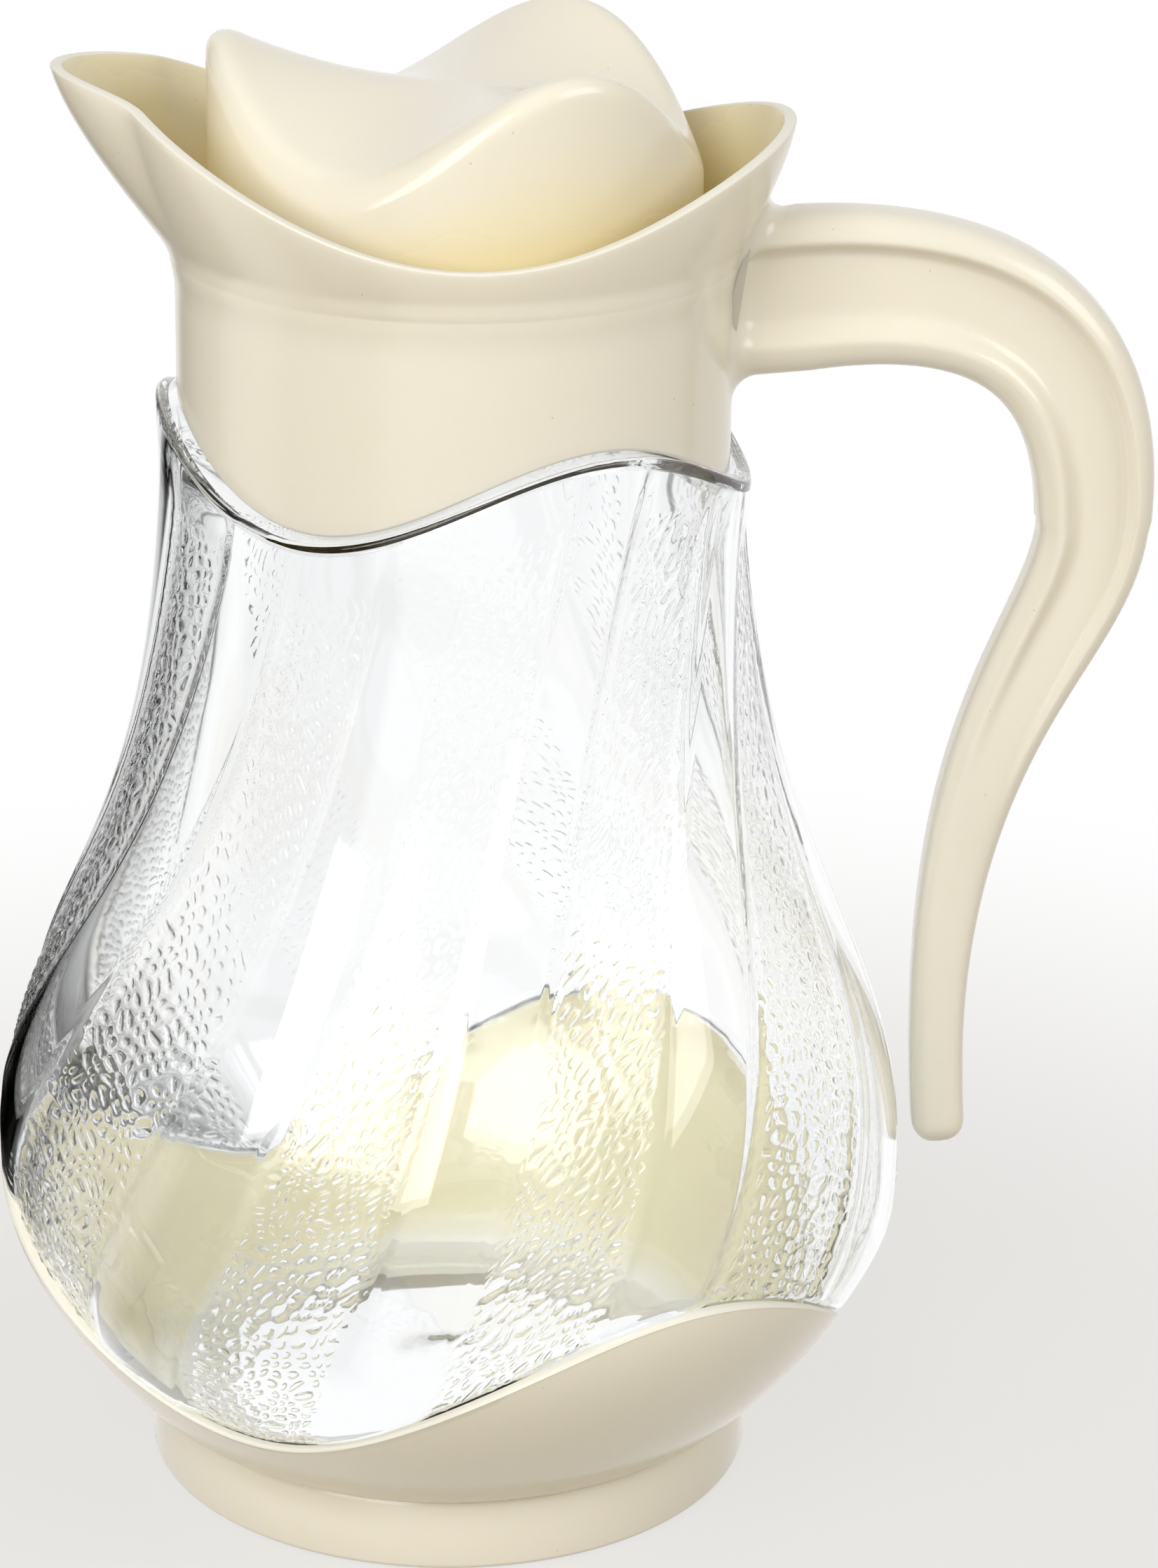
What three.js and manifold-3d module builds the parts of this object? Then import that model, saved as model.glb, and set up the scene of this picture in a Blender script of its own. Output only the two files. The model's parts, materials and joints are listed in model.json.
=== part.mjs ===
// Plastic table jug: a clear fluted body standing in a cream cup foot, a cream collar that carries
// the spout and the hook handle, and a loose lid. Millimetres, +Z up, handle towards +X.

import * as THREE from 'three';
import Module from 'manifold-3d';

const wasm = await Module();
wasm.setup();

// Clear body: a pear shape of revolution, with smooth raised petals between recessed strips.
const BELLY_RADIUS = 79.5;
const BELLY_HEIGHT = 55.3;
const BODY_WALL = 2.2;
const FLUTES = 10;
const PETAL_RISE = 1.7;
const PETAL_CROWN = 0.4;
const STRIP_SHARE = 0.5;
const STEP_SHARE = 0.07;
const FLUTE_TWIST = THREE.MathUtils.degToRad(44);
const FLUTE_START = THREE.MathUtils.degToRad(-83);
const SHOULDER_LEDGE = 2;
const SHOULDER_ROUND = 2.6;
const FLOOR_INSET = 4.5;
const FLOOR_CORNER = 6;
const FLOOR_CORNER_UP = 0.25;
const FLOOR_CORNER_OUT = 0.55;
const GATE_RADIUS = 12.5;
const GATE_RISE = 0.8;

// Reach of the curve handles that shape the pear's outline.
const BOWL_OUT = 5.4;
const BOWL_UP = 2.2;
const BELLY_DOWN = 18;
const BELLY_UP = 48;
const SHOULDER_DOWN = 83;

// Base: a cup with a wavy rim on a short foot ring, with a ledge under the body's floor.
const WAVE_LOBES = 3;
const FOOT_RADIUS = 52.9;
const FOOT_HEIGHT = 12.5;
const FOOT_WALL = 3.5;
const FOOT_ROUND = 1;
const FOOT_FLARE = 0.8;
const CUP_RIM_HEIGHT = 42;
const CUP_RIM_WAVE = 14.5;
const CUP_WALL = 2.4;
const LEDGE_DROP = 2.5;
const LEDGE_WALL = 2;
const LEDGE_BEARING = 5;

// Collar: a plain band round the neck, a funnel above it and an inner shelf for the lid.
const COLLAR_RADIUS = 46.6;
const COLLAR_WALL = 2.2;
const COLLAR_EDGE_HEIGHT = 188.7;
const COLLAR_EDGE_WAVE = 7;
const BAND_HEIGHT = 29.8;
const SHELF_WALL = 2.2;
const SHELF_LIP = 0.3;
const FUNNEL_POWER = 1.36;
const LIP_WIDTH = 2;

// Funnel rim: lowest at the sides, high at the handle, highest at the beaked spout.
const DIP_ANGLE = THREE.MathUtils.degToRad(85.6);
const DIP_FLARE = 3.3;
const DIP_RISE = 8.9;
const REAR_FLARE = 6.2;
const REAR_RISE = 15;
const REAR_SHARPNESS = 3.8;
const SPOUT_FLARE = 7.4;
const SPOUT_RISE = 22.5;
const SPOUT_SHARPNESS = 1.5;
const BEAK_LENGTH = 9.2;
const BEAK_HALF_ANGLE = THREE.MathUtils.degToRad(18);
const BEAK_SHARPNESS = 0.9;

// Handle: an S-shaped hook with an open lower end and a channel along each side.
const HANDLE_REACH = 118.7;
const HANDLE_ROOT_DROP = 7.5;
const HANDLE_ROOT_SLOPE = THREE.MathUtils.degToRad(11.4);
const HANDLE_CROWN_DROP = 45;
const HANDLE_TIP_HEIGHT = 57;
const HANDLE_TIP_LEAN = THREE.MathUtils.degToRad(4.7);
const HANDLE_GAP = 1;
const HANDLE_ROOT_DEPTH = 29;
const HANDLE_CROWN_DEPTH = 19.7;
const HANDLE_TIP_DEPTH = 9.5;
const HANDLE_ROOT_WIDTH = 16;
const HANDLE_TIP_WIDTH = 10;
const HANDLE_SQUARENESS = 0.7;
const HANDLE_CHANNEL = 3.6;
const CHANNEL_END = 0.72;
const TAPER_LEAD = 0.1;
const TAPER_END = 0.95;
const ROOT_FILLET = 2.2;
const ROOT_CROWDING = 1.4;

// Reach of the curve handles that shape the handle's middle line.
const ARCH_OUT = 43.7;
const ARCH_UP = 34;
const CROWN_DOWN = 21.8;
const TIP_UP = 75;

// Lid: a hollow plug with a flange that seats on the shelf and a top of three wavy crests.
const LID_WALL = 2.2;
const LID_PLUG_DEPTH = 14;
const LID_FLANGE_WALL = 2;
const LID_FLANGE_OUT = 2;
const LID_TOP_RISE = 28.8;
const LID_TOP_WAVE = 9.8;
const LID_EDGE_ROUND = 5;

// Clearances between pieces.
const FIT_GAP = 0.3;
const CUP_GAP = 0.45;
const CUP_PLAY = 0.8;
const LID_PLAY = 0.6;

// Facets round each piece and rings along it.
const BASE_COLUMNS = 54;
const COLLAR_COLUMNS = 60;
const SPOUT_CLUSTER = 0.6;
const LID_COLUMNS = 54;
const HANDLE_COLUMNS = 16;
const HANDLE_STEPS = 26;
const SHOWN_STEPS = 13;
const INNER_STEPS = 8;
const INNER_SEAT_STEPS = 2;
const INNER_MARGIN = 0.05;
const SEAT_STEPS = 3;
const BOWL_STEPS = 5;
const FUNNEL_STEPS = 5;
const ROUND_STEPS = 3;
const LID_TOP_STEPS = 3;
const HALVINGS = 30;

// Sizes that follow from the ones above.
const CREASE_HEIGHT = COLLAR_EDGE_HEIGHT + BAND_HEIGHT;
const BAND_BORE = COLLAR_RADIUS - COLLAR_WALL;
const NECK_RADIUS = BAND_BORE - FIT_GAP;
const NECK_BORE = NECK_RADIUS - BODY_WALL;
const NECK_TOP = CREASE_HEIGHT - SHELF_WALL - FIT_GAP;
const SHELF_BORE = NECK_BORE - SHELF_LIP;
const LID_RADIUS = SHELF_BORE - LID_PLAY;
const SHOULDER_RADIUS = COLLAR_RADIUS + SHOULDER_LEDGE;
const FOOT_BORE = FOOT_RADIUS - FOOT_WALL;
const FLOOR_RADIUS = FOOT_BORE - FLOOR_INSET;
const LEDGE_BORE = FLOOR_RADIUS - LEDGE_BEARING;
const LEDGE_TOP = FOOT_HEIGHT - LEDGE_DROP;
const FLOOR_HEIGHT = LEDGE_TOP + FIT_GAP;
const SPOUT_TOP = CREASE_HEIGHT + DIP_RISE + SPOUT_RISE;

// How far the middle of a round corner stands back from each of its sides, as a share of its radius.
const CORNER_BACK = 1 - Math.SQRT1_2;
const QUARTER_TURN = Math.PI / 2;

const mix = THREE.MathUtils.lerp;
const smooth = THREE.MathUtils.smoothstep;
const evenShares = (steps) => Array.from({ length: steps + 1 }, (_, step) => step / steps);
const evenAngles = (count) => Array.from({ length: count }, (_, i) => (i / count) * 2 * Math.PI);

// The pear's outline, as two curves of radius against height that meet upright at the belly.
const bowlCurve = new THREE.CubicBezierCurve(
  new THREE.Vector2(FOOT_RADIUS, FOOT_HEIGHT),
  new THREE.Vector2(FOOT_RADIUS + BOWL_OUT, FOOT_HEIGHT + BOWL_UP),
  new THREE.Vector2(BELLY_RADIUS, BELLY_HEIGHT - BELLY_DOWN),
  new THREE.Vector2(BELLY_RADIUS, BELLY_HEIGHT),
);
const shoulderCurve = new THREE.CubicBezierCurve(
  new THREE.Vector2(BELLY_RADIUS, BELLY_HEIGHT),
  new THREE.Vector2(BELLY_RADIUS, BELLY_HEIGHT + BELLY_UP),
  new THREE.Vector2(SHOULDER_RADIUS, COLLAR_EDGE_HEIGHT - SHOULDER_DOWN),
  new THREE.Vector2(SHOULDER_RADIUS, COLLAR_EDGE_HEIGHT),
);

// Radius of the pear at a height: halve the curve's span until it closes on that height.
function pearRadius(height) {
  const curve = height < BELLY_HEIGHT ? bowlCurve : shoulderCurve;
  let low = 0;
  let high = 1;
  for (let pass = 0; pass < HALVINGS; pass += 1) {
    const middle = (low + high) / 2;
    if (curve.getPoint(middle).y < height) {
      low = middle;
    } else {
      high = middle;
    }
  }
  return curve.getPoint(low).x;
}

// Heights of the wavy edges round the jug. All of them crest at the spout.
const wave = (theta, mean, swing) => mean - swing * Math.cos(WAVE_LOBES * theta);
const cupRim = (theta) => wave(theta, CUP_RIM_HEIGHT, CUP_RIM_WAVE);
const collarEdge = (theta) => wave(theta, COLLAR_EDGE_HEIGHT, COLLAR_EDGE_WAVE);
const shoulderEdge = (theta) => collarEdge(theta) - FIT_GAP;

// A point given by its angle round the jug, its radius and its height.
function polar(theta, radius, height) {
  return new THREE.Vector3(radius * Math.cos(theta), radius * Math.sin(theta), height);
}

const plainRing = (angles, radius, height) => angles.map((theta) => polar(theta, radius, height));

// A closed skin over rings of points, taken from below, up the outside and down the inside.
// A ring of one point is a pole. A loop also joins its last ring to its first.
function ringSkin(rings, loop = false) {
  const columns = Math.max(...rings.map((ring) => ring.length));
  const positions = [];
  const starts = rings.map((ring) => {
    const start = positions.length / 3;
    ring.forEach((point) => positions.push(point.x, point.y, point.z));
    return start;
  });
  const indices = [];
  const corner = (row, column) => {
    const single = rings[row].length === 1;
    return starts[row] + (single ? 0 : column % columns);
  };
  const spans = loop ? rings.length : rings.length - 1;
  for (let row = 0; row < spans; row += 1) {
    const next = (row + 1) % rings.length;
    for (let column = 0; column < columns; column += 1) {
      if (rings[row].length > 1) {
        indices.push(corner(row, column), corner(row, column + 1), corner(next, column));
      }
      if (rings[next].length > 1) {
        indices.push(corner(row, column + 1), corner(next, column + 1), corner(next, column));
      }
    }
  }
  const geometry = new THREE.BufferGeometry();
  geometry.setAttribute('position', new THREE.Float32BufferAttribute(positions, 3));
  geometry.setIndex(indices);
  return geometry;
}

// Columns of the fluted body: each flute has a recessed strip and a raised, slightly crowned petal.
function fluteColumns() {
  const petalShare = 1 - STRIP_SHARE - 2 * STEP_SHARE;
  const petalSide = PETAL_RISE - PETAL_CROWN;
  const stops = [
    { share: 0, rise: 0 },
    { share: STRIP_SHARE / 2, rise: 0 },
    { share: STRIP_SHARE, rise: 0 },
    { share: STRIP_SHARE + STEP_SHARE, rise: petalSide },
    { share: STRIP_SHARE + STEP_SHARE + petalShare / 2, rise: PETAL_RISE },
    { share: 1 - STEP_SHARE, rise: petalSide },
  ];
  const columns = [];
  for (let flute = 0; flute < FLUTES; flute += 1) {
    stops.forEach(({ share, rise }) => {
      const turn = (flute + share - STRIP_SHARE / 2) / FLUTES;
      columns.push({ angle: FLUTE_START + turn * 2 * Math.PI, rise });
    });
  }
  return columns;
}

// Clear body: one wall from the floor up to the mouth and back down the inside. It is rebated to
// sit in the cup below and to pass inside the collar above.
function bodyGeometry() {
  const columns = fluteColumns();
  const ring = (climb, heightAt, radiusAt) => columns.map(({ angle, rise }) => {
    const theta = angle + FLUTE_TWIST * climb;
    const height = heightAt(theta);
    return polar(theta, radiusAt(height, rise), height);
  });
  const level = (height) => () => height;
  const seatRadius = (height) => pearRadius(height) - CUP_WALL - CUP_PLAY;
  const flutedRadius = (height, rise) => pearRadius(height) + rise;
  const innerRadius = (height) => pearRadius(height) - BODY_WALL;
  const innerSeat = (height) => seatRadius(height) - BODY_WALL;

  const gateTop = FLOOR_HEIGHT + GATE_RISE;
  const floorInside = FLOOR_HEIGHT + BODY_WALL;
  const cornerTop = FLOOR_HEIGHT + FLOOR_CORNER;
  const cornerHeight = mix(FLOOR_HEIGHT, cornerTop, FLOOR_CORNER_UP);
  const cornerRadius = mix(FLOOR_RADIUS, seatRadius(cornerTop), FLOOR_CORNER_OUT);
  const ledge = (theta) => cupRim(theta) + CUP_GAP;
  const roundStart = (theta) => shoulderEdge(theta) - SHOULDER_ROUND;
  const seatHeight = (share) => (theta) => mix(cornerTop, ledge(theta), share);
  const shownHeight = (share) => (theta) => mix(ledge(theta), roundStart(theta), share);
  const roundBack = SHOULDER_ROUND * CORNER_BACK;
  const inwardShare = (share) => mix(1 - INNER_MARGIN, INNER_MARGIN, share);

  return ringSkin([
    [polar(0, 0, gateTop)],
    ring(0, level(gateTop), () => GATE_RADIUS),
    ring(0, level(FLOOR_HEIGHT), () => GATE_RADIUS + GATE_RISE),
    ring(0, level(FLOOR_HEIGHT), () => FLOOR_RADIUS),
    ring(0, level(cornerHeight), () => cornerRadius),
    ...evenShares(SEAT_STEPS).map((share) => ring(0, seatHeight(share), seatRadius)),
    ...evenShares(SHOWN_STEPS).map((share) => ring(share, shownHeight(share), flutedRadius)),
    ring(
      1,
      (theta) => shoulderEdge(theta) - roundBack,
      (height, rise) => flutedRadius(height, rise) - roundBack,
    ),
    ring(1, shoulderEdge, (height, rise) => flutedRadius(height, rise) - SHOULDER_ROUND),
    ring(1, shoulderEdge, () => NECK_RADIUS),
    ring(1, level(NECK_TOP), () => NECK_RADIUS),
    ring(1, level(NECK_TOP), () => NECK_BORE),
    ring(1, (theta) => shoulderEdge(theta) - BODY_WALL, () => NECK_BORE),
    ...evenShares(INNER_STEPS).map((share) => ring(1, shownHeight(inwardShare(share)), innerRadius)),
    ...evenShares(INNER_SEAT_STEPS).map((share) => ring(1, seatHeight(inwardShare(share)), innerSeat)),
    ring(1, level(floorInside), () => FLOOR_RADIUS),
    [polar(0, 0, floorInside)],
  ]);
}

// Base: foot ring, bowl and inner ledge turned as one loop, with the bowl's rim following its wave.
function baseGeometry() {
  const angles = evenAngles(BASE_COLUMNS);
  const bowlRing = (share, inset) => angles.map((theta) => {
    const height = mix(FOOT_HEIGHT, cupRim(theta), share);
    return polar(theta, pearRadius(height) - inset, height);
  });
  const shares = evenShares(BOWL_STEPS);
  return ringSkin([
    plainRing(angles, FOOT_BORE, 0),
    plainRing(angles, FOOT_RADIUS + FOOT_FLARE - FOOT_ROUND, 0),
    plainRing(angles, FOOT_RADIUS + FOOT_FLARE, FOOT_ROUND),
    ...shares.map((share) => bowlRing(share, 0)),
    ...shares.slice(1).reverse().map((share) => bowlRing(share, CUP_WALL)),
    plainRing(angles, FOOT_BORE, LEDGE_TOP),
    plainRing(angles, LEDGE_BORE, LEDGE_TOP),
    plainRing(angles, LEDGE_BORE, LEDGE_TOP - LEDGE_WALL),
    plainRing(angles, FOOT_BORE, LEDGE_TOP - LEDGE_WALL),
  ], true);
}

// The funnel's rim at an angle: its radius and height, with a beak where the spout pours.
function funnelRim(theta) {
  const fromHandle = Math.abs(Math.atan2(Math.sin(theta), Math.cos(theta)));
  const fromSpout = Math.PI - fromHandle;
  const rear = fromHandle < DIP_ANGLE;
  const span = rear ? fromHandle / DIP_ANGLE : fromSpout / (Math.PI - DIP_ANGLE);
  const crest = Math.cos(span * QUARTER_TURN);
  const flare = rear ? REAR_FLARE * crest ** REAR_SHARPNESS : SPOUT_FLARE * crest ** SPOUT_SHARPNESS;
  const rise = (rear ? REAR_RISE : SPOUT_RISE) * crest ** 2;
  const nearBeak = Math.max(0, 1 - fromSpout / BEAK_HALF_ANGLE);
  const beak = BEAK_LENGTH * Math.sin(nearBeak * QUARTER_TURN) ** BEAK_SHARPNESS;
  return {
    radius: COLLAR_RADIUS + DIP_FLARE + flare + beak,
    height: CREASE_HEIGHT + DIP_RISE + rise,
  };
}

// A ring of the funnel: share 0 is the crease over the band and share 1 the rim.
function funnelRing(angles, share, inset) {
  return angles.map((theta) => {
    const edge = funnelRim(theta);
    const outward = 1 - (1 - share) ** FUNNEL_POWER;
    const radius = mix(COLLAR_RADIUS, edge.radius, outward);
    return polar(theta, radius - inset, mix(CREASE_HEIGHT, edge.height, share));
  });
}

// Angles round the collar, closest together at the spout.
function collarAngles() {
  return evenAngles(COLLAR_COLUMNS).map((turn) => Math.PI + turn - SPOUT_CLUSTER * Math.sin(turn));
}

// Collar shell: band, funnel, lip and shelf as one loop.
function collarShell() {
  const angles = collarAngles();
  const shares = evenShares(FUNNEL_STEPS);
  const edgeRing = (radius) => angles.map((theta) => polar(theta, radius, collarEdge(theta)));
  return ringSkin([
    edgeRing(BAND_BORE),
    edgeRing(COLLAR_RADIUS),
    ...shares.map((share) => funnelRing(angles, share, 0)),
    ...shares.slice().reverse().map((share) => funnelRing(angles, share, LIP_WIDTH)),
    plainRing(angles, SHELF_BORE, CREASE_HEIGHT),
    plainRing(angles, SHELF_BORE, CREASE_HEIGHT - SHELF_WALL),
    plainRing(angles, BAND_BORE, CREASE_HEIGHT - SHELF_WALL),
  ], true);
}

// The space inside the collar, up to the middle of its wall, that the handle's root stays out of.
function collarCore() {
  const angles = collarAngles();
  const bottom = COLLAR_EDGE_HEIGHT - COLLAR_EDGE_WAVE;
  const halfWall = Math.min(COLLAR_WALL, LIP_WIDTH) / 2;
  const rim = funnelRing(angles, 1, halfWall);
  const top = SPOUT_TOP + LIP_WIDTH;
  return ringSkin([
    [polar(0, 0, bottom)],
    plainRing(angles, COLLAR_RADIUS - halfWall, bottom),
    ...evenShares(FUNNEL_STEPS).map((share) => funnelRing(angles, share, halfWall)),
    rim.map((point) => point.clone().setZ(top)),
    [polar(0, 0, top)],
  ]);
}

// Middle line of the handle: an arch from the collar to the crown, then an S down to the tip.
function handleSpine() {
  const tipX = BELLY_RADIUS + PETAL_RISE + HANDLE_GAP + HANDLE_TIP_DEPTH / 2;
  const crownX = HANDLE_REACH - HANDLE_CROWN_DEPTH / 2;
  const root = new THREE.Vector3(BAND_BORE, 0, CREASE_HEIGHT - HANDLE_ROOT_DROP);
  const crown = new THREE.Vector3(crownX, 0, CREASE_HEIGHT - HANDLE_CROWN_DROP);
  const tip = new THREE.Vector3(tipX, 0, HANDLE_TIP_HEIGHT + HANDLE_TIP_DEPTH / 2);
  const rootWay = new THREE.Vector3(Math.cos(HANDLE_ROOT_SLOPE), 0, Math.sin(HANDLE_ROOT_SLOPE));
  const tipWay = new THREE.Vector3(-Math.sin(HANDLE_TIP_LEAN), 0, Math.cos(HANDLE_TIP_LEAN));
  const up = new THREE.Vector3(0, 0, 1);
  const spine = new THREE.CurvePath();
  spine.add(new THREE.CubicBezierCurve3(
    root,
    root.clone().addScaledVector(rootWay, ARCH_OUT),
    crown.clone().addScaledVector(up, ARCH_UP),
    crown,
  ));
  spine.add(new THREE.CubicBezierCurve3(
    crown,
    crown.clone().addScaledVector(up, -CROWN_DOWN),
    tip.clone().addScaledVector(tipWay, TIP_UP),
    tip,
  ));
  return spine;
}

// A ring of the handle: a rounded section, pinched by a channel in each side.
function handleRing(centre, along, depth, width, channel) {
  const side = new THREE.Vector3(0, 1, 0);
  const outward = new THREE.Vector3().crossVectors(side, along).normalize();
  const bulge = (value) => Math.sign(value) * Math.abs(value) ** HANDLE_SQUARENESS;
  return evenAngles(HANDLE_COLUMNS).map((turn) => {
    const deep = bulge(Math.cos(turn));
    const pinch = channel * (1 - deep ** 2) ** 2;
    const wide = bulge(Math.sin(turn)) * (width / 2 - pinch);
    return centre.clone().addScaledVector(outward, (deep * depth) / 2).addScaledVector(side, wide);
  });
}

// Handle: rings along the spine, slimmer towards a rounded tip, with a flared root.
function handleGeometry() {
  const spine = handleSpine();
  const length = spine.getLength();
  const crownAt = spine.curves[0].getLength() / length;
  const archDepth = (share) => mix(HANDLE_ROOT_DEPTH, HANDLE_CROWN_DEPTH, share / crownAt);
  const hookDepth = (share) => {
    const taper = smooth(share, crownAt - TAPER_LEAD, TAPER_END);
    return mix(HANDLE_CROWN_DEPTH, HANDLE_TIP_DEPTH, taper);
  };
  const bodyRings = evenShares(HANDLE_STEPS).map((step) => {
    const share = step ** ROOT_CROWDING;
    const fromCollar = share * length - COLLAR_WALL;
    const flare = 2 * ROOT_FILLET * Math.max(0, 1 - fromCollar / (2 * ROOT_FILLET)) ** 2;
    const depth = share < crownAt ? archDepth(share) : hookDepth(share);
    const width = mix(HANDLE_ROOT_WIDTH, HANDLE_TIP_WIDTH, smooth(share, crownAt / 2, 1));
    const opening = smooth(fromCollar, 0, ROOT_FILLET) * (1 - smooth(share, crownAt, CHANNEL_END));
    const channel = HANDLE_CHANNEL * opening;
    const along = spine.getTangentAt(share);
    return handleRing(spine.getPointAt(share), along, depth + flare, width + flare, channel);
  });
  const tip = spine.getPointAt(1);
  const along = spine.getTangentAt(1);
  const tipRings = evenShares(ROUND_STEPS).slice(1, -1).map((share) => {
    const turn = share * QUARTER_TURN;
    const centre = tip.clone().addScaledVector(along, (Math.sin(turn) * HANDLE_TIP_DEPTH) / 2);
    const slim = Math.cos(turn);
    return handleRing(centre, along, HANDLE_TIP_DEPTH * slim, HANDLE_TIP_WIDTH * slim, 0);
  });
  return ringSkin([
    [spine.getPointAt(0)],
    ...bodyRings,
    ...tipRings,
    [tip.clone().addScaledVector(along, HANDLE_TIP_DEPTH / 2)],
  ]);
}

// A skin as a solid that can be joined and cut, and a solid back as a skin.
function toSolid(geometry) {
  return new wasm.Manifold(new wasm.Mesh({
    numProp: 3,
    vertProperties: new Float32Array(geometry.attributes.position.array),
    triVerts: new Uint32Array(geometry.index.array),
  }));
}

function toGeometry(solid) {
  const mesh = solid.getMesh();
  const geometry = new THREE.BufferGeometry();
  geometry.setAttribute('position', new THREE.BufferAttribute(new Float32Array(mesh.vertProperties), 3));
  geometry.setIndex(new THREE.BufferAttribute(new Uint32Array(mesh.triVerts), 1));
  return geometry;
}

// Collar with its handle: the handle's root ends inside the collar's wall.
function collarGeometry() {
  const handle = toSolid(handleGeometry()).subtract(toSolid(collarCore()));
  return toGeometry(toSolid(collarShell()).add(handle));
}

// Lid: a hollow plug, open below, with a seating flange and a softly edged top of three crests.
function lidGeometry() {
  const angles = evenAngles(LID_COLUMNS);
  const bottom = CREASE_HEIGHT - LID_PLUG_DEPTH;
  const seat = CREASE_HEIGHT + FIT_GAP;
  const flangeTop = seat + LID_FLANGE_WALL;
  const flangeRadius = LID_RADIUS + LID_FLANGE_OUT;
  const bore = LID_RADIUS - LID_WALL;
  const flat = LID_RADIUS - LID_EDGE_ROUND;
  const topAt = (theta, radius) => {
    const swing = LID_TOP_WAVE * (radius / LID_RADIUS) ** 2;
    return wave(theta, CREASE_HEIGHT + LID_TOP_RISE, swing);
  };
  const topRing = (radius, drop) => angles.map((theta) => polar(theta, radius, topAt(theta, radius) - drop));
  const edgeRing = (share) => {
    const turn = share * QUARTER_TURN;
    return topRing(flat + LID_EDGE_ROUND * Math.cos(turn), LID_EDGE_ROUND * (1 - Math.sin(turn)));
  };
  const innerShares = evenShares(LID_TOP_STEPS).slice(1, -1);
  const centreHeight = topAt(0, 0);
  return ringSkin([
    [polar(0, 0, centreHeight - LID_WALL)],
    ...innerShares.map((share) => topRing(flat * share, LID_WALL)),
    topRing(flat, LID_WALL),
    topRing(bore, LID_EDGE_ROUND),
    plainRing(angles, bore, bottom),
    plainRing(angles, LID_RADIUS, bottom),
    plainRing(angles, LID_RADIUS, seat),
    plainRing(angles, flangeRadius, seat),
    plainRing(angles, flangeRadius, flangeTop),
    plainRing(angles, LID_RADIUS, flangeTop),
    ...evenShares(ROUND_STEPS).map(edgeRing),
    ...innerShares.slice().reverse().map((share) => topRing(flat * share, 0)),
    [polar(0, 0, centreHeight)],
  ]);
}

// A named piece with a material of its own.
function piece(name, geometry, finish) {
  geometry.computeVertexNormals();
  const mesh = new THREE.Mesh(geometry, new THREE.MeshStandardMaterial(finish));
  mesh.name = name;
  return mesh;
}

const cream = { color: 0xe8dec4, roughness: 0.32, metalness: 0 };
const clear = { color: 0xf2f7f9, roughness: 0.06, metalness: 0, transparent: true, opacity: 0.3 };

const jug = new THREE.Group();
jug.add(
  piece('base_cup', baseGeometry(), cream),
  piece('clear_body', bodyGeometry(), clear),
  piece('spout_collar', collarGeometry(), cream),
  piece('lid', lidGeometry(), cream),
);

// The origin lies on the table under the middle of the whole jug, spout to handle.
const middle = new THREE.Box3().setFromObject(jug).getCenter(new THREE.Vector3());
jug.position.x = -middle.x;

export default jug;
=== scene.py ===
# %% [markdown]
# A clear jug in cream plastic
#
# The jug is already built as four solids, which give every size and place. This lesson gives each
# solid a finer mesh with its rounded edges, flutes and pebbles, and a material like the moulded
# plastic of the real one. Everything is in metres and stands on z = 0, with the handle towards +X
# and the spout towards -X.

import json
import math

import bpy
import numpy as np
from mathutils import Matrix, Vector

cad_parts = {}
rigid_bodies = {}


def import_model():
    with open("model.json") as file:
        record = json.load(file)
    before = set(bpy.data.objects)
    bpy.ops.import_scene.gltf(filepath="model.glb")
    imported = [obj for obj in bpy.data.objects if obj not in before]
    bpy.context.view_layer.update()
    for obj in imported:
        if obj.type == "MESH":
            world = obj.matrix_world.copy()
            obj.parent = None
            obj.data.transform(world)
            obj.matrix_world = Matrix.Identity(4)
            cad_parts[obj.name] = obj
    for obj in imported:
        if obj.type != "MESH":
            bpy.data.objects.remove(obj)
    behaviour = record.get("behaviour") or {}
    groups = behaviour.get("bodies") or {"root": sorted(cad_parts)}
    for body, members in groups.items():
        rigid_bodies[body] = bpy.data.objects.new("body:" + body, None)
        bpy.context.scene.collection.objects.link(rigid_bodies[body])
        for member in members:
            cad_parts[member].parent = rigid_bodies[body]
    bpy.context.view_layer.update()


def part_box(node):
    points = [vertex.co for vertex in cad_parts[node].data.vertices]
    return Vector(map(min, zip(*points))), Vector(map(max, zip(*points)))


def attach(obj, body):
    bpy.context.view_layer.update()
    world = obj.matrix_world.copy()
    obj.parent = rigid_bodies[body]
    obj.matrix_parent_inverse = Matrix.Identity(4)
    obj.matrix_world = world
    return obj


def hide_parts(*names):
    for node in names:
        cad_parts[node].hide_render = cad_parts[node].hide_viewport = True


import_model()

MM = 0.001
body_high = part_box("clear_body")[1]
collar_low, collar_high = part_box("spout_collar")
lid_low, lid_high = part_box("lid")
AXIS_X = (lid_low.x + lid_high.x) / 2

# %% [markdown]
# The camera
#
# The photograph looks slightly down on the jug from the side, with the handle on the right. A long
# lens at about three quarters of a metre gives the same gentle perspective, where a short lens close
# by would swell the lid. The camera is turned a little to the right, because the handle makes the
# jug wider on that side.

# %% Stand the camera where the photograph was taken
PHOTO_HEIGHT = 2236
FOCAL_PIXELS = 6580.5
SENSOR = 36.0
CAMERA_DISTANCE = 750 * MM
CAMERA_HEIGHT = 404.1 * MM
CAMERA_TILT = math.radians(20.465)
CAMERA_ROLL = math.radians(0.307)
CAMERA_TURN = math.radians(1.57)

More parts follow.
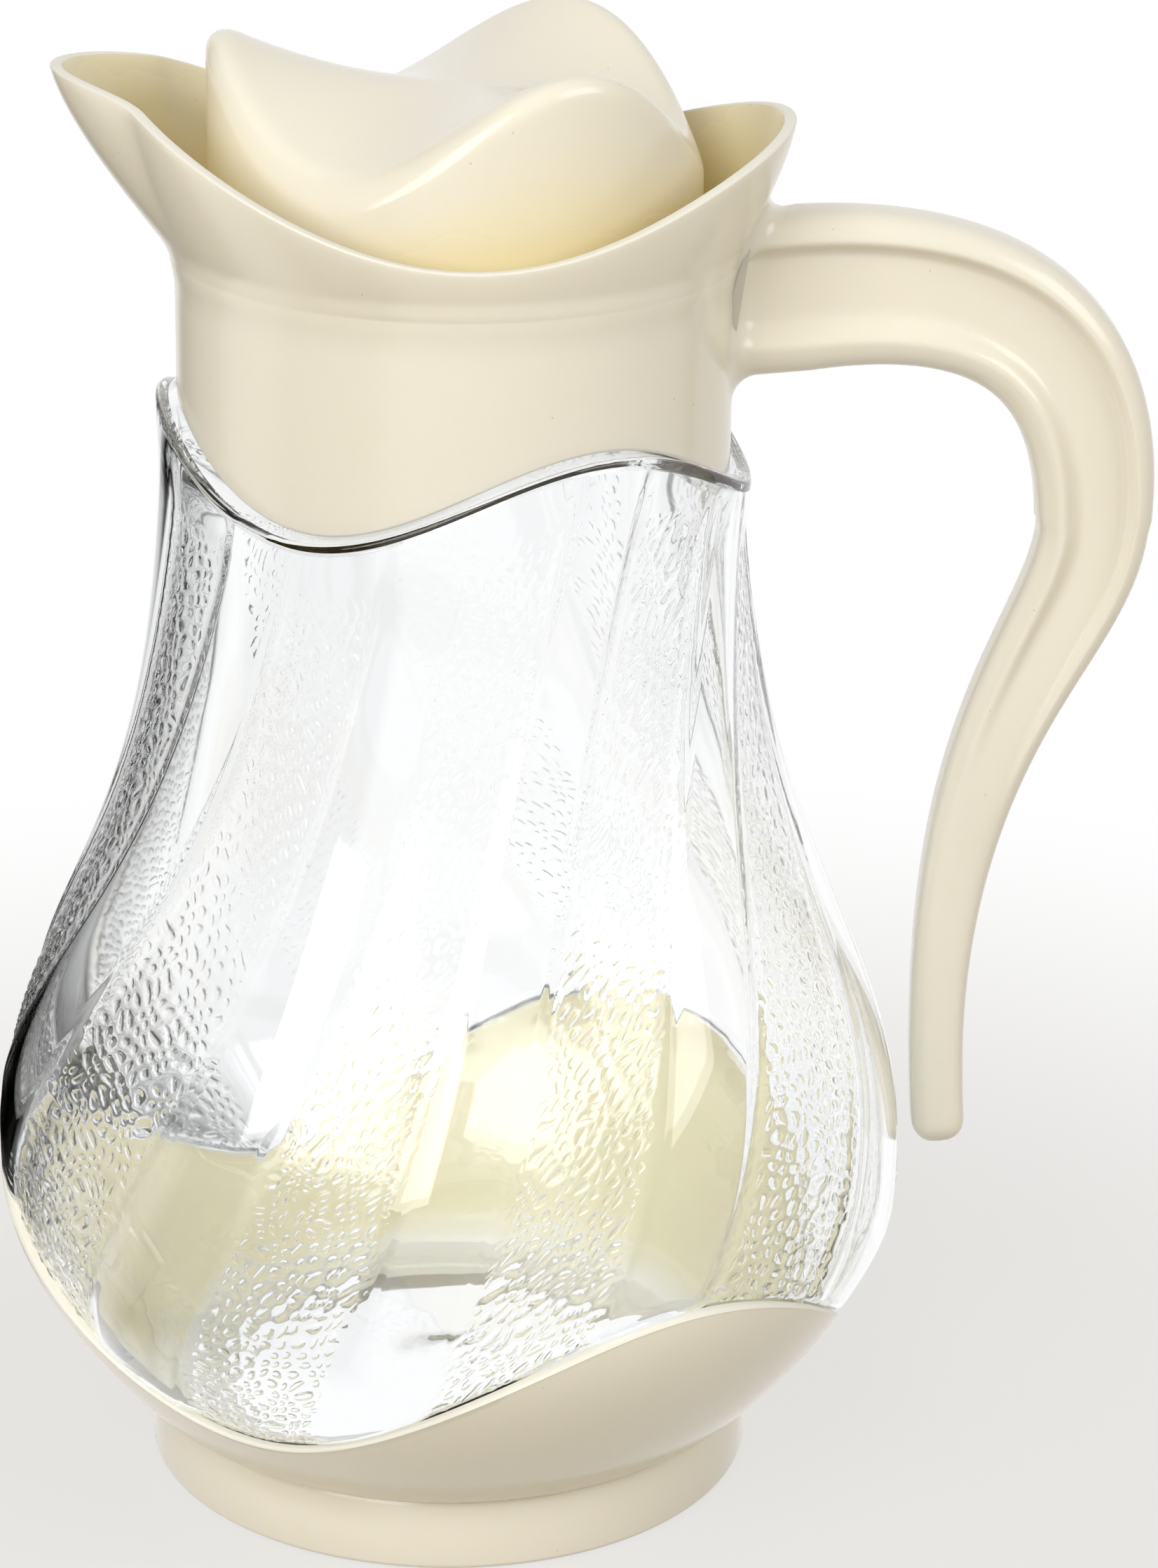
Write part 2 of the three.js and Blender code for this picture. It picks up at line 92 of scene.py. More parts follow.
bpy.ops.object.select_all(action="DESELECT")
bpy.ops.object.camera_add()
camera = bpy.context.object
camera.data.sensor_width = SENSOR
camera.data.lens = FOCAL_PIXELS * SENSOR / PHOTO_HEIGHT
camera.matrix_world = (
    Matrix.Translation((AXIS_X, -CAMERA_DISTANCE, CAMERA_HEIGHT))
    @ Matrix.Rotation(math.pi / 2 - CAMERA_TILT, 4, "X")
    @ Matrix.Rotation(CAMERA_ROLL, 4, "Z")
    @ Matrix.Rotation(-CAMERA_TURN, 4, "Y")
)
bpy.context.scene.camera = camera
bpy.context.scene.view_settings.view_transform = "Standard"
print("lens", round(camera.data.lens, 1), "mm")

# %% [markdown]
# Studio light
#
# The jug stands in a white tent. A large soft lamp from the front left models the cream plastic, a
# weaker one from the right keeps that side from going dark, and a third lights the back. The third
# is hidden from gloss and from what shows through the clear wall, where it would be a bright square.
# Lamps are aimed by code, as one would turn them by hand.

# %% Hang the soft lamps
JUG_MIDDLE = Vector((AXIS_X, 0, 130 * MM))


def hang_lamp(name, place, width, height, watts):
    """A soft lamp at a place, given as an offset from the jug's middle, that shines at it."""
    bpy.ops.object.light_add(type="AREA", location=JUG_MIDDLE + Vector(place))
    lamp = bpy.context.object
    lamp.name = name
    lamp.data.shape = "RECTANGLE"
    lamp.data.size, lamp.data.size_y = width, height
    lamp.data.energy = watts
    lamp.rotation_euler = (-Vector(place)).to_track_quat("-Z", "Y").to_euler()
    return lamp


hang_lamp("key_lamp", place=(-0.65, -1.1, 0.72), width=0.9, height=1.1, watts=14.8)
hang_lamp("fill_lamp", place=(1.15, -0.7, 0.75), width=0.8, height=0.8, watts=7.0)
back_lamp = hang_lamp("back_lamp", place=(0.3, 1.25, 0.35), width=0.9, height=0.9, watts=3.0)
back_lamp.visible_glossy = back_lamp.visible_transmission = False
print("lamps hung: 3")

# %% [markdown]
# Light that enters the clear wall can be thrown to and fro inside it many times before it leaves.
# Blender gives up after a few of these bounces and leaves black lines, so it is told to go on for
# longer.

# %% Let light bounce on inside the clear wall
CLEAR_BOUNCES = 24

paths = bpy.context.scene.cycles
paths.max_bounces = paths.glossy_bounces = paths.transmission_bounces = CLEAR_BOUNCES
print("bounces:", CLEAR_BOUNCES)

# %% [markdown]
# Helpers for nodes
#
# Light and finishes are trees of nodes, as in Blender's shader editor. Adding and wiring each node
# takes many lines, so a few helpers do it. An input is given either a plain value or the output of
# another node.

# %% Add and wire nodes


def wire(tree, value, socket):
    """Links an output to an input, or sets the input to a plain value."""
    if isinstance(value, bpy.types.NodeSocket):
        tree.links.new(value, socket)
    else:
        socket.default_value = value


def add_node(tree, kind, settings=None, **inputs):
    """A node with its settings and its named inputs."""
    node = tree.nodes.new(kind)
    for name, value in (settings or {}).items():
        setattr(node, name, value)
    for name, value in inputs.items():
        wire(tree, value, node.inputs[name.replace("_", " ")])
    return node


def math_node(tree, operation, first, second=0.0):
    """One sum of two values."""
    node = add_node(tree, "ShaderNodeMath", {"operation": operation})
    for index, value in enumerate((first, second)):
        wire(tree, value, node.inputs[index])
    return node.outputs[0]


def spread(tree, value, low, high, start=0.3, end=0.7):
    """Eases a value that runs from start to end into the range from low to high."""
    return add_node(
        tree, "ShaderNodeMapRange", {"interpolation_type": "SMOOTHSTEP"}, Value=value,
        From_Min=start, From_Max=end, To_Min=low, To_Max=high).outputs["Result"]


def start_material(name, **inputs):
    """A material, its tree and its Principled shader, which has these plain values."""
    material = bpy.data.materials.new(name)
    material.use_nodes = True
    shader = material.node_tree.nodes["Principled BSDF"]
    for socket, value in inputs.items():
        shader.inputs[socket.replace("_", " ")].default_value = value
    return material, material.node_tree, shader


def mix_shaders(tree, factor, first, second):
    """Sends a mix of two shaders to the material's output."""
    mix = add_node(tree, "ShaderNodeMixShader", Fac=factor)
    wire(tree, first, mix.inputs[1])
    wire(tree, second, mix.inputs[2])
    wire(tree, mix.outputs["Shader"], tree.nodes["Material Output"].inputs["Surface"])


print("helpers for nodes: 6")

# %% [markdown]
# The tent
#
# The camera sees plain white behind the jug, and the jug itself is lit by a softer grey. What shows
# in its gloss and through its clear wall is white but for one dark flank on the spout side. That
# flank draws the grey lines along the edges of clear plastic, as a black card does beside glass in a
# studio. A real card could stand there, but a curve in the tent's own nodes casts no shadow and is
# moved by changing a number.

# %% Draw the dark flank
FLANK_SPAN = ((-1.0, 1.0), (-0.985, 0.9), (-0.94, 0.0), (-0.58, 0.0), (-0.4, 1.0), (1.0, 1.0))


def draw_flank(tree, way):
    """White but for a dark flank, by how far a direction points along X."""
    axes = add_node(tree, "ShaderNodeSeparateXYZ", Vector=way)
    place = add_node(tree, "ShaderNodeMapRange", Value=axes.outputs["X"], From_Min=-1.0)
    flank = add_node(tree, "ShaderNodeFloatCurve", Value=place.outputs["Result"])
    curve = flank.mapping.curves[0]
    for _ in FLANK_SPAN[2:]:
        curve.points.new(0, 0)
    for point, (along_x, level) in zip(curve.points, FLANK_SPAN):
        point.location = ((along_x + 1) / 2, level)
        point.handle_type = "VECTOR"
    flank.mapping.update()
    return flank.outputs["Value"]


print("dark from x =", FLANK_SPAN[2][0], "to", FLANK_SPAN[3][0])

# %% Make the tent's light
TENT_GREY = 0.38

world = bpy.data.worlds.new("tent")
bpy.context.scene.world = world
world.use_nodes = True
tent = world.node_tree
tent.nodes.clear()

tent_path = tent.nodes.new("ShaderNodeLightPath")
tent_way = tent.nodes.new("ShaderNodeTexCoord").outputs["Generated"]
tent_shiny = math_node(
    tent, "MAXIMUM", tent_path.outputs["Is Glossy Ray"], tent_path.outputs["Is Transmission Ray"])
tent_level = add_node(
    tent, "ShaderNodeMix", Factor=tent_shiny, A=TENT_GREY, B=draw_flank(tent, tent_way))
tent_seen = add_node(
    tent, "ShaderNodeMix", Factor=tent_path.outputs["Is Camera Ray"],
    A=tent_level.outputs["Result"], B=1.0)
tent_light = add_node(
    tent, "ShaderNodeBackground", Color=(1, 1, 1, 1), Strength=tent_seen.outputs["Result"])
add_node(tent, "ShaderNodeOutputWorld", Surface=tent_light.outputs["Background"])
print("tent grey", TENT_GREY)

# %% [markdown]
# The floor
#
# The jug stands on a wide sheet. By its own warm, rather low colour the sheet throws soft light up
# under the jug. To the eye it also glows: in part near the jug, where the jug's shadow still shows,
# and as white as the tent further out, so that no horizon is seen. In gloss and through the clear
# wall it shows the tent's dark flank too, but stays white close to the jug. A plain white sheet with
# more lamps would be simpler, but then the cream plastic would be too bright.

# %% Lay the floor
FLOOR_SIZE, FLOOR_DROP = 8.0, 0.2 * MM
FLOOR_COLOUR = (0.47, 0.42, 0.33, 1)

bpy.ops.object.select_all(action="DESELECT")
bpy.ops.mesh.primitive_plane_add(size=FLOOR_SIZE, location=(0, 0, -FLOOR_DROP))
floor = bpy.context.object
floor.name = "floor"
floor_paint, floor_tree, floor_shader = start_material(
    "floor_sheet", Base_Color=FLOOR_COLOUR, Roughness=0.9, Specular_IOR_Level=0.0)
floor.data.materials.append(floor_paint)
print("floor", FLOOR_SIZE, "m square")

# %% [markdown]
# The glow is an Emission shader. Its strength carries the flank, and its share is full for gloss and
# for rays through the clear wall, and grows with the distance from the jug for the camera.

# %% Make the floor glow
GLOW_NEAR, GLOW_FAR, GLOW_LEAST = 0.1, 0.36, 0.68
FLANK_NEAR, FLANK_FAR = 0.1, 0.16

floor_path = floor_tree.nodes.new("ShaderNodeLightPath")
floor_seen = floor_path.outputs["Is Camera Ray"]
floor_shiny = math_node(
    floor_tree, "MAXIMUM",
    floor_path.outputs["Is Glossy Ray"], floor_path.outputs["Is Transmission Ray"])
floor_where = floor_tree.nodes.new("ShaderNodeTexCoord").outputs["Object"]
floor_far, floor_way = (
    add_node(floor_tree, "ShaderNodeVectorMath", {"operation": operation}, Vector=floor_where)
    for operation in ("LENGTH", "NORMALIZE"))
far = floor_far.outputs["Value"]
near_share = spread(floor_tree, far, GLOW_LEAST, 1.0, GLOW_NEAR, GLOW_FAR)
eye_share = math_node(floor_tree, "MULTIPLY", floor_seen, near_share)
glow_share = math_node(floor_tree, "MAXIMUM", eye_share, floor_shiny)
under_jug = spread(floor_tree, far, 1.0, 0.0, FLANK_NEAR, FLANK_FAR)
white = math_node(floor_tree, "MAXIMUM", floor_seen, under_jug)
floor_flank = draw_flank(floor_tree, floor_way.outputs["Vector"])
floor_glow = add_node(
    floor_tree, "ShaderNodeEmission",
    Strength=math_node(floor_tree, "MAXIMUM", white, floor_flank))
mix_shaders(
    floor_tree, glow_share, floor_shader.outputs["BSDF"], floor_glow.outputs["Emission"])
print("floor nodes:", len(floor_tree.nodes))

# %% [markdown]
# Moulded cream plastic
#
# The cream pieces are plain moulded plastic: even from far off, but close up slightly mottled, with
# a few dark specks and a faint orange-peel ripple. Deep inside the funnel and the cup and low on the
# lid a warmer yellow is painted into the colour: a painted glow that stands in for the light passing
# from wall to wall there. Where a mesh says how deep a place lies, or that it is the flat lip, it
# does so in an attribute of its points. The three cream materials could each have all these nodes.
# One node group is built once instead, and each material takes it with its own tint.

# %% Give the cream group its sockets
cream_group = bpy.data.node_groups.new("moulded_cream", "ShaderNodeTree")
for direction, kind, names in (
    ("INPUT", "NodeSocketColor", ("Cream", "Warm", "Pale")),
    ("INPUT", "NodeSocketFloat", ("Depth", "Lip")),
    ("OUTPUT", "NodeSocketColor", ("Color",)),
    ("OUTPUT", "NodeSocketFloat", ("Roughness", "Height")),
):
    for name in names:
        cream_group.interface.new_socket(name, in_out=direction, socket_type=kind)
given = cream_group.nodes.new("NodeGroupInput")
made = cream_group.nodes.new("NodeGroupOutput")
where = cream_group.nodes.new("ShaderNodeTexCoord").outputs["Object"]
print("sockets:", [item.name for item in cream_group.interface.items_tree])

# %% [markdown]
# For the colour, a broad noise shades the cream, a cell pattern leaves specks in a few of its cells,
# and two masks bring in the painted warm glow of the depth and the pale lip.

# %% Wire the cream group's colour
COLOUR_A, COLOUR_B, COLOUR_OUT = 6, 7, 2
PATTERN_LOW, PATTERN_HIGH = 0.2, 0.8
MOTTLE_SCALE, MOTTLE_LOW, MOTTLE_HIGH = 26.0, 0.98, 1.0
SPECK_CELLS, SPECK_SIZE, SPECK_RARE, SPECK_SHADE = 300.0, 0.055, 0.9, -0.22


def noise(tree, where, scale, detail):
    """The value of a noise pattern of that scale, per metre."""
    return add_node(
        tree, "ShaderNodeTexNoise", Vector=where, Scale=scale, Detail=detail).outputs["Fac"]


def mix_colours(tree, factor, first, second, blend="MIX"):
    """A mix of two colours."""
    mix = add_node(tree, "ShaderNodeMix", {"data_type": "RGBA", "blend_type": blend})
    for value, index in ((factor, 0), (first, COLOUR_A), (second, COLOUR_B)):
        wire(tree, value, mix.inputs[index])
    return mix.outputs[COLOUR_OUT]


mottle = noise(cream_group, where, MOTTLE_SCALE, 3.0)
shade = spread(cream_group, mottle, MOTTLE_LOW, MOTTLE_HIGH, PATTERN_LOW, PATTERN_HIGH)
cells = add_node(cream_group, "ShaderNodeTexVoronoi", Vector=where, Scale=SPECK_CELLS)
chance = add_node(cream_group, "ShaderNodeSeparateColor", Color=cells.outputs["Color"])
rare = math_node(cream_group, "GREATER_THAN", chance.outputs["Red"], SPECK_RARE)
dot = math_node(cream_group, "LESS_THAN", cells.outputs["Distance"], SPECK_SIZE)
speck = math_node(cream_group, "MULTIPLY", rare, dot)
speck_shade = math_node(cream_group, "MULTIPLY", speck, SPECK_SHADE)
tone = math_node(cream_group, "ADD", shade, speck_shade)

depth, lip = given.outputs["Depth"], given.outputs["Lip"]
# The depth mask mixes in painted warm glow: colour that stands in for light passing from wall to
# wall.
painted_glow_colour = mix_colours(cream_group, depth, given.outputs["Cream"], given.outputs["Warm"])
lipped = mix_colours(cream_group, lip, painted_glow_colour, given.outputs["Pale"])
toned = mix_colours(cream_group, 1.0, lipped, tone, "MULTIPLY")
wire(cream_group, toned, made.inputs["Color"])
print("cells for specks:", round(1000 / SPECK_CELLS, 1), "mm wide")

# %% [markdown]
# The gloss wanders a little, and is duller on the lip and in the depth, where the mould wasn't
# polished. The height is a soft ripple with a fine grain on it, and feeds each material's Bump node.

# %% Wire the cream group's gloss and ripple
GLOSS_SCALE, GLOSS_LOW, GLOSS_HIGH, LIP_DULL = 70.0, 0.14, 0.21, 0.3
RIPPLE_SCALE, GRAIN_SCALE, GRAIN_SHARE = 160.0, 2400.0, 0.08

polish = noise(cream_group, where, GLOSS_SCALE, 2.0)
gloss = spread(cream_group, polish, GLOSS_LOW, GLOSS_HIGH, PATTERN_LOW, PATTERN_HIGH)
unpolished = math_node(cream_group, "MAXIMUM", lip, depth)
lip_dull = math_node(cream_group, "MULTIPLY", unpolished, LIP_DULL)
wire(cream_group, math_node(cream_group, "ADD", gloss, lip_dull), made.inputs["Roughness"])
ripple = noise(cream_group, where, RIPPLE_SCALE, 1.0)
grain = math_node(
    cream_group, "MULTIPLY", noise(cream_group, where, GRAIN_SCALE, 2.0), GRAIN_SHARE)
wire(cream_group, math_node(cream_group, "ADD", ripple, grain), made.inputs["Height"])
print("cream group nodes:", len(cream_group.nodes))

# %% [markdown]
# The three cream materials share one recipe. A little subsurface light softens their edges, as in
# any pale plastic that isn't quite opaque. The lid's cream is a shade lighter than the other two.

# %% Mix the cream materials
CREAM = (0.85, 0.795, 0.665, 1)
LID_CREAM = (0.88, 0.82, 0.675, 1)
# The warm colour is painted glow, for the light passing from wall to wall deep inside.
PAINTED_WARM_GLOW = (0.84, 0.68, 0.2, 1)
PALE = (0.86, 0.83, 0.72, 1)
PLASTIC_IOR = 1.49
SOFT_WEIGHT, SOFT_COLOURS, SOFT_DEPTH = 0.15, (1.0, 0.8, 0.5), 3 * MM
RIPPLE_STRENGTH, RIPPLE_RISE = 0.25, 0.06 * MM


def read_layer(tree, layer):
    """The value of a layer that the mesh stores at its points."""
    return add_node(tree, "ShaderNodeAttribute", {"attribute_name": layer}).outputs["Fac"]


def mix_cream(name, cream):
    """A cream plastic material with its own tint."""
    material, tree, shader = start_material(
        name, IOR=PLASTIC_IOR, Subsurface_Weight=SOFT_WEIGHT, Subsurface_Radius=SOFT_COLOURS,
        Subsurface_Scale=SOFT_DEPTH)
    plastic = add_node(
        tree, "ShaderNodeGroup", {"node_tree": cream_group}, Cream=cream, Warm=PAINTED_WARM_GLOW, Pale=PALE,
        Depth=read_layer(tree, "depth"), Lip=read_layer(tree, "lip"))
    bump = add_node(
        tree, "ShaderNodeBump", Strength=RIPPLE_STRENGTH, Distance=RIPPLE_RISE,
        Height=plastic.outputs["Height"])
    wire(tree, plastic.outputs["Color"], shader.inputs["Base Color"])
    wire(tree, plastic.outputs["Roughness"], shader.inputs["Roughness"])
    wire(tree, bump.outputs["Normal"], shader.inputs["Normal"])
    return material


cream_base = mix_cream("cream_base", CREAM)
cream_collar = mix_cream("cream_collar", CREAM)
cream_lid = mix_cream("cream_lid", LID_CREAM)
print("cream materials: 3")

# %% [markdown]
# Clear plastic
#
# The body is polished clear plastic. A mix of a glass and a glossy shader could look much the same,
# but one Principled shader with full transmission bends and mirrors the light as plastic does, and
# other programs can read it. The pebbled strips are a little duller than the polished petals.

# %% Mix the clear material
CLEAR_TINT = (0.99, 0.997, 1.0, 1)
STRIP_DULL = 0.05
CLEAR_SCALE, CLEAR_LOW, CLEAR_HIGH = 40.0, 0.01, 0.04

clear, clear_tree, clear_shader = start_material(
    "clear_plastic", Base_Color=CLEAR_TINT, IOR=PLASTIC_IOR, Transmission_Weight=1.0)
strip = read_layer(clear_tree, "strip")
strip_dull = math_node(clear_tree, "MULTIPLY", strip, STRIP_DULL)
clear_where = clear_tree.nodes.new("ShaderNodeTexCoord").outputs["Object"]
clear_polish = noise(clear_tree, clear_where, CLEAR_SCALE, 2.0)
petal_dull = spread(clear_tree, clear_polish, CLEAR_LOW, CLEAR_HIGH)
clear_dull = math_node(clear_tree, "ADD", strip_dull, petal_dull)
wire(clear_tree, clear_dull, clear_shader.inputs["Roughness"])
print("clear roughness from", CLEAR_LOW, "to", round(CLEAR_HIGH + STRIP_DULL, 2))

# %% [markdown]
# The mesh gives the pebbles their body. The same three waves in the material sharpen each one, from
# the wave phases that the mesh stores at its points. Far more points in the mesh could do it too,
# but would make the piece too heavy.

# %% Sharpen the pebbles
PEBBLE_FOOT, PEBBLE_CROWN = -0.4, 2.3
PEBBLE_BUMP = 0.11 * MM

row_wave = read_layer(clear_tree, "pebble_row")
line_wave = read_layer(clear_tree, "pebble_line")
cross_wave = math_node(clear_tree, "SUBTRACT", line_wave, row_wave)
wave_heights = []
for phase in (row_wave, line_wave, cross_wave):
    wave_turn = math_node(clear_tree, "MULTIPLY", phase, 2 * math.pi)
    wave_heights.append(math_node(clear_tree, "COSINE", wave_turn))
wave_sum = math_node(clear_tree, "ADD", wave_heights[0], wave_heights[1])
wave_sum = math_node(clear_tree, "ADD", wave_sum, wave_heights[2])
dome = spread(clear_tree, wave_sum, 0.0, 1.0, PEBBLE_FOOT, PEBBLE_CROWN)
clear_bump = add_node(
    clear_tree, "ShaderNodeBump", Strength=1.0, Distance=PEBBLE_BUMP,
    Height=math_node(clear_tree, "MULTIPLY", dome, strip))
wire(clear_tree, clear_bump.outputs["Normal"], clear_shader.inputs["Normal"])
print("pebbles sharpened by", round(PEBBLE_BUMP / MM, 2), "mm")

# %% [markdown]
# A clear wall would block the lamps, because Blender doesn't bend light on its way from a lamp. So a
# Transparent shader stands in for those rays alone. It lets most of the light through, which lights
# the cup behind the wall and leaves a pale shadow.

# %% Let lamps shine through
CLEAR_SHADOW = (0.84, 0.86, 0.87, 1)

clear_path = clear_tree.nodes.new("ShaderNodeLightPath")
clear_pass = add_node(clear_tree, "ShaderNodeBsdfTransparent", Color=CLEAR_SHADOW)
mix_shaders(
    clear_tree, clear_path.outputs["Is Shadow Ray"],
    clear_shader.outputs["BSDF"], clear_pass.outputs["BSDF"])
print("clear material nodes:", len(clear_tree.nodes))

# %% [markdown]
# The pear outline
#
# Seen from the side, the cup and the clear body are one pear: a bowl that swells from the foot to
# the belly, and a long shoulder that draws in to the neck. Each piece could have an outline of its
# own, but then the two might not meet. So two curves draw the whole pear, and every ring of both
# pieces takes its radius from them at its own height.

# %% Draw the pear
FOOT_RADIUS, FOOT_HEIGHT = 52.9 * MM, 12.5 * MM
BELLY_RADIUS, BELLY_HEIGHT = 79.5 * MM, 55.3 * MM
NECK_RADIUS, SHOULDER_HEIGHT = 48.6 * MM, 188.7 * MM
BOWL_OUT, BOWL_UP, BELLY_DOWN = 5.4 * MM, 2.2 * MM, 18 * MM
BELLY_UP, NECK_DOWN = 48 * MM, 83 * MM
CURVE_POINTS = 400


def bezier(start, leave, arrive, end):
    """Points along a curve with two handles."""
    t = np.linspace(0, 1, CURVE_POINTS)[:, None]
    start, leave, arrive, end = map(np.asarray, (start, leave, arrive, end))
    return (
        (1 - t) ** 3 * start + 3 * (1 - t) ** 2 * t * leave
        + 3 * (1 - t) * t ** 2 * arrive + t ** 3 * end
    )


pear = np.vstack([
    bezier(
        (FOOT_RADIUS, FOOT_HEIGHT), (FOOT_RADIUS + BOWL_OUT, FOOT_HEIGHT + BOWL_UP),
        (BELLY_RADIUS, BELLY_HEIGHT - BELLY_DOWN), (BELLY_RADIUS, BELLY_HEIGHT)),
    bezier(
        (BELLY_RADIUS, BELLY_HEIGHT), (BELLY_RADIUS, BELLY_HEIGHT + BELLY_UP),
        (NECK_RADIUS, SHOULDER_HEIGHT - NECK_DOWN), (NECK_RADIUS, SHOULDER_HEIGHT))[1:],
])


def pear_radius(height):
    """Radius of the pear at a height."""
    return np.interp(height, pear[:, 1], pear[:, 0])


print("belly", round(2 * BELLY_RADIUS / MM, 1), "mm across")

# %% [markdown]
# Points in and out of a mesh
#
# A mesh that an operator has made is shaped further by moving its points. No operator gives wavy
# rims or a twist that follows them, so helpers read all the points of a piece as angle, radius and
# height round the jug's axis, and put them back.

# %% Read and write points round the axis


def read_points(piece):
    """The x, y and z of each point of a piece."""
    flat = np.empty(len(piece.data.vertices) * 3)
    piece.data.vertices.foreach_get("co", flat)
    return flat.reshape(-1, 3).T


def write_points(piece, points):
    """Puts the points of a piece at these places."""
    piece.data.vertices.foreach_set("co", points.ravel())
    piece.data.update()


def read_round(piece):
    """Angle, radius and height of each point of a piece."""
    x, y, z = read_points(piece)
    return np.arctan2(y, x - AXIS_X), np.hypot(x - AXIS_X, y), z


def write_round(piece, turn, radius, height):
    """Puts the points of a piece at these angles, radii and heights."""
    write_points(piece, np.stack(
        [AXIS_X + radius * np.cos(turn), radius * np.sin(turn), height], axis=1))


def mark_points(piece, layer, values):
    """Stores one number for each point, for the material to read."""
    piece.data.attributes.new(layer, "FLOAT", "POINT").data.foreach_set("value", values)


print("angles count from the handle, at 0 degrees, to the spout, at 180")

# %% [markdown]
# Two more helpers give numbers that the shapes share: a soft step, and the wave with three crests
# that runs round the cup's rim, the collar's edge and the lid.

# %% Write the soft step and the wave


def smooth(value, start, end):
    """Eases from 0 at start to 1 at end."""
    t = np.clip((value - start) / (end - start), 0, 1)
    return t * t * (3 - 2 * t)


def wave(turn, mean, swing):
    """Height of an edge with three crests; a dip points at the handle."""
    return mean - swing * np.cos(3 * turn)


print("crests at", [60, 180, 300], "degrees")

# %% [markdown]
# Spinning an outline
#
# The cup, the collar and the lid are round mouldings. They could be cut from cylinders, but then
# each rounding would be a bevel of its own. Here each starts as a flat closed outline of half its
# section, roundings and all, which Spin carries once round the axis, as a lathe does. Waves and the
# spout come afterwards, by moving points.

# %% Spin a section
MERGE = 0.001 * MM
ROUND_STEPS = 240


def arc(centre_radius, centre_height, size, start, end, count=6):
    """Points of a round corner in a section, between two angles in degrees."""
    turns = np.radians(np.linspace(start, end, count))
    return [
        (centre_radius + size * math.cos(t), centre_height + size * math.sin(t)) for t in turns]


def close_skin():
    """Merges points that meet, and turns the faces of the active piece outward."""
    bpy.ops.object.mode_set(mode="EDIT")
    bpy.ops.mesh.select_all(action="SELECT")
    bpy.ops.mesh.remove_doubles(threshold=MERGE)
    bpy.ops.mesh.delete_loose()
    bpy.ops.mesh.select_all(action="SELECT")
    bpy.ops.mesh.normals_make_consistent(inside=False)
    bpy.ops.object.mode_set(mode="OBJECT")


def spin_section(name, section, steps=ROUND_STEPS):
    """A ring of points along a closed section, spun once round the jug's axis."""
    bpy.ops.object.select_all(action="DESELECT")
    bpy.ops.mesh.primitive_circle_add(vertices=len(section), radius=BELLY_RADIUS)
    piece = bpy.context.object
    piece.name = piece.data.name = name
    radii, heights = np.array(section).T
    write_round(piece, np.zeros(len(section)), radii, heights)
    bpy.ops.object.mode_set(mode="EDIT")
    bpy.ops.mesh.select_all(action="SELECT")
    bpy.ops.mesh.spin(steps=steps, angle=2 * math.pi, center=(AXIS_X, 0, 0), axis=(0, 0, 1))
    bpy.ops.object.mode_set(mode="OBJECT")
    close_skin()
    print(name, "spun:", len(piece.data.polygons), "faces")
    return piece


print("one step of the spin:", 360 / ROUND_STEPS, "degrees")

# %% [markdown]
# Every piece is finished alike.

# %% Finish a piece


def finish_piece(piece, body, node, material, crisp=40):
    """Smooth shading with crisp corners, the material, and the piece's place in the frame."""
    bpy.ops.object.select_all(action="DESELECT")
    bpy.context.view_layer.objects.active = piece
    piece.select_set(True)
    bpy.ops.object.shade_smooth_by_angle(angle=math.radians(crisp))
    piece.data.materials.clear()
    piece.data.materials.append(material)
    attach(piece, body)
    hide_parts(node)
    print(piece.name, "rides on", body, "and stands for", node)


# %% [markdown]
# The base cup
#
# The cup holds the clear body and gives it a foot. Its section runs round the foot ring, up the
# bowl, over a rounded rim, down the inside and along the ledge that carries the body. A shallow
# groove parts the foot from the bowl.

# %% Draw and spin the cup
FOOT_FLARE, FOOT_WALL, FOOT_ROUND = 0.8 * MM, 3.5 * MM, 1.0 * MM
GROOVE_DEPTH, GROOVE_HEIGHT = 0.7 * MM, 1.2 * MM
CUP_WALL, RIM_ROUND, RIM_LEAN = 2.4 * MM, 0.8 * MM, 15
RIM_HEIGHT, RIM_SWING = 42 * MM, 14.5 * MM
LEDGE_TOP, LEDGE_WALL, LEDGE_BORE = 10 * MM, 2 * MM, 39.9 * MM
LEDGE_CORNER, LEDGE_FILLET = 0.4 * MM, 0.8 * MM
BOWL_STEPS = 22

foot_bore = FOOT_RADIUS - FOOT_WALL
foot_edge = FOOT_RADIUS + FOOT_FLARE
ledge_low = LEDGE_TOP - LEDGE_WALL
rim_low, rim_radius = RIM_HEIGHT - RIM_ROUND, pear_radius(RIM_HEIGHT)
bowl_heights = np.linspace(FOOT_HEIGHT + 0.5 * GROOVE_HEIGHT, rim_low, BOWL_STEPS)
inner_heights = np.linspace(rim_low, FOOT_HEIGHT + CUP_WALL, BOWL_STEPS)
cup_section = (
    [(foot_bore, FOOT_ROUND / 2), (foot_bore + FOOT_ROUND / 2, 0)]
    + arc(foot_edge - FOOT_ROUND, FOOT_ROUND, FOOT_ROUND, -90, 0)
    + [(FOOT_RADIUS, FOOT_HEIGHT - GROOVE_HEIGHT), (FOOT_RADIUS - GROOVE_DEPTH, FOOT_HEIGHT)]
    + [(pear_radius(z), z) for z in bowl_heights]
    + arc(rim_radius - RIM_ROUND, rim_low, RIM_ROUND, RIM_LEAN, 90)
    + arc(rim_radius - CUP_WALL + RIM_ROUND, rim_low, RIM_ROUND, 90, 180 - RIM_LEAN)
    + [(pear_radius(z) - CUP_WALL, z) for z in inner_heights]
    + [(foot_bore, LEDGE_TOP), (LEDGE_BORE + LEDGE_CORNER, LEDGE_TOP)]
    + [(LEDGE_BORE, LEDGE_TOP - LEDGE_CORNER), (LEDGE_BORE, ledge_low)]
    + [(foot_bore - LEDGE_FILLET, ledge_low), (foot_bore, ledge_low - LEDGE_FILLET)]
)
cup = spin_section("cream_cup", cup_section)

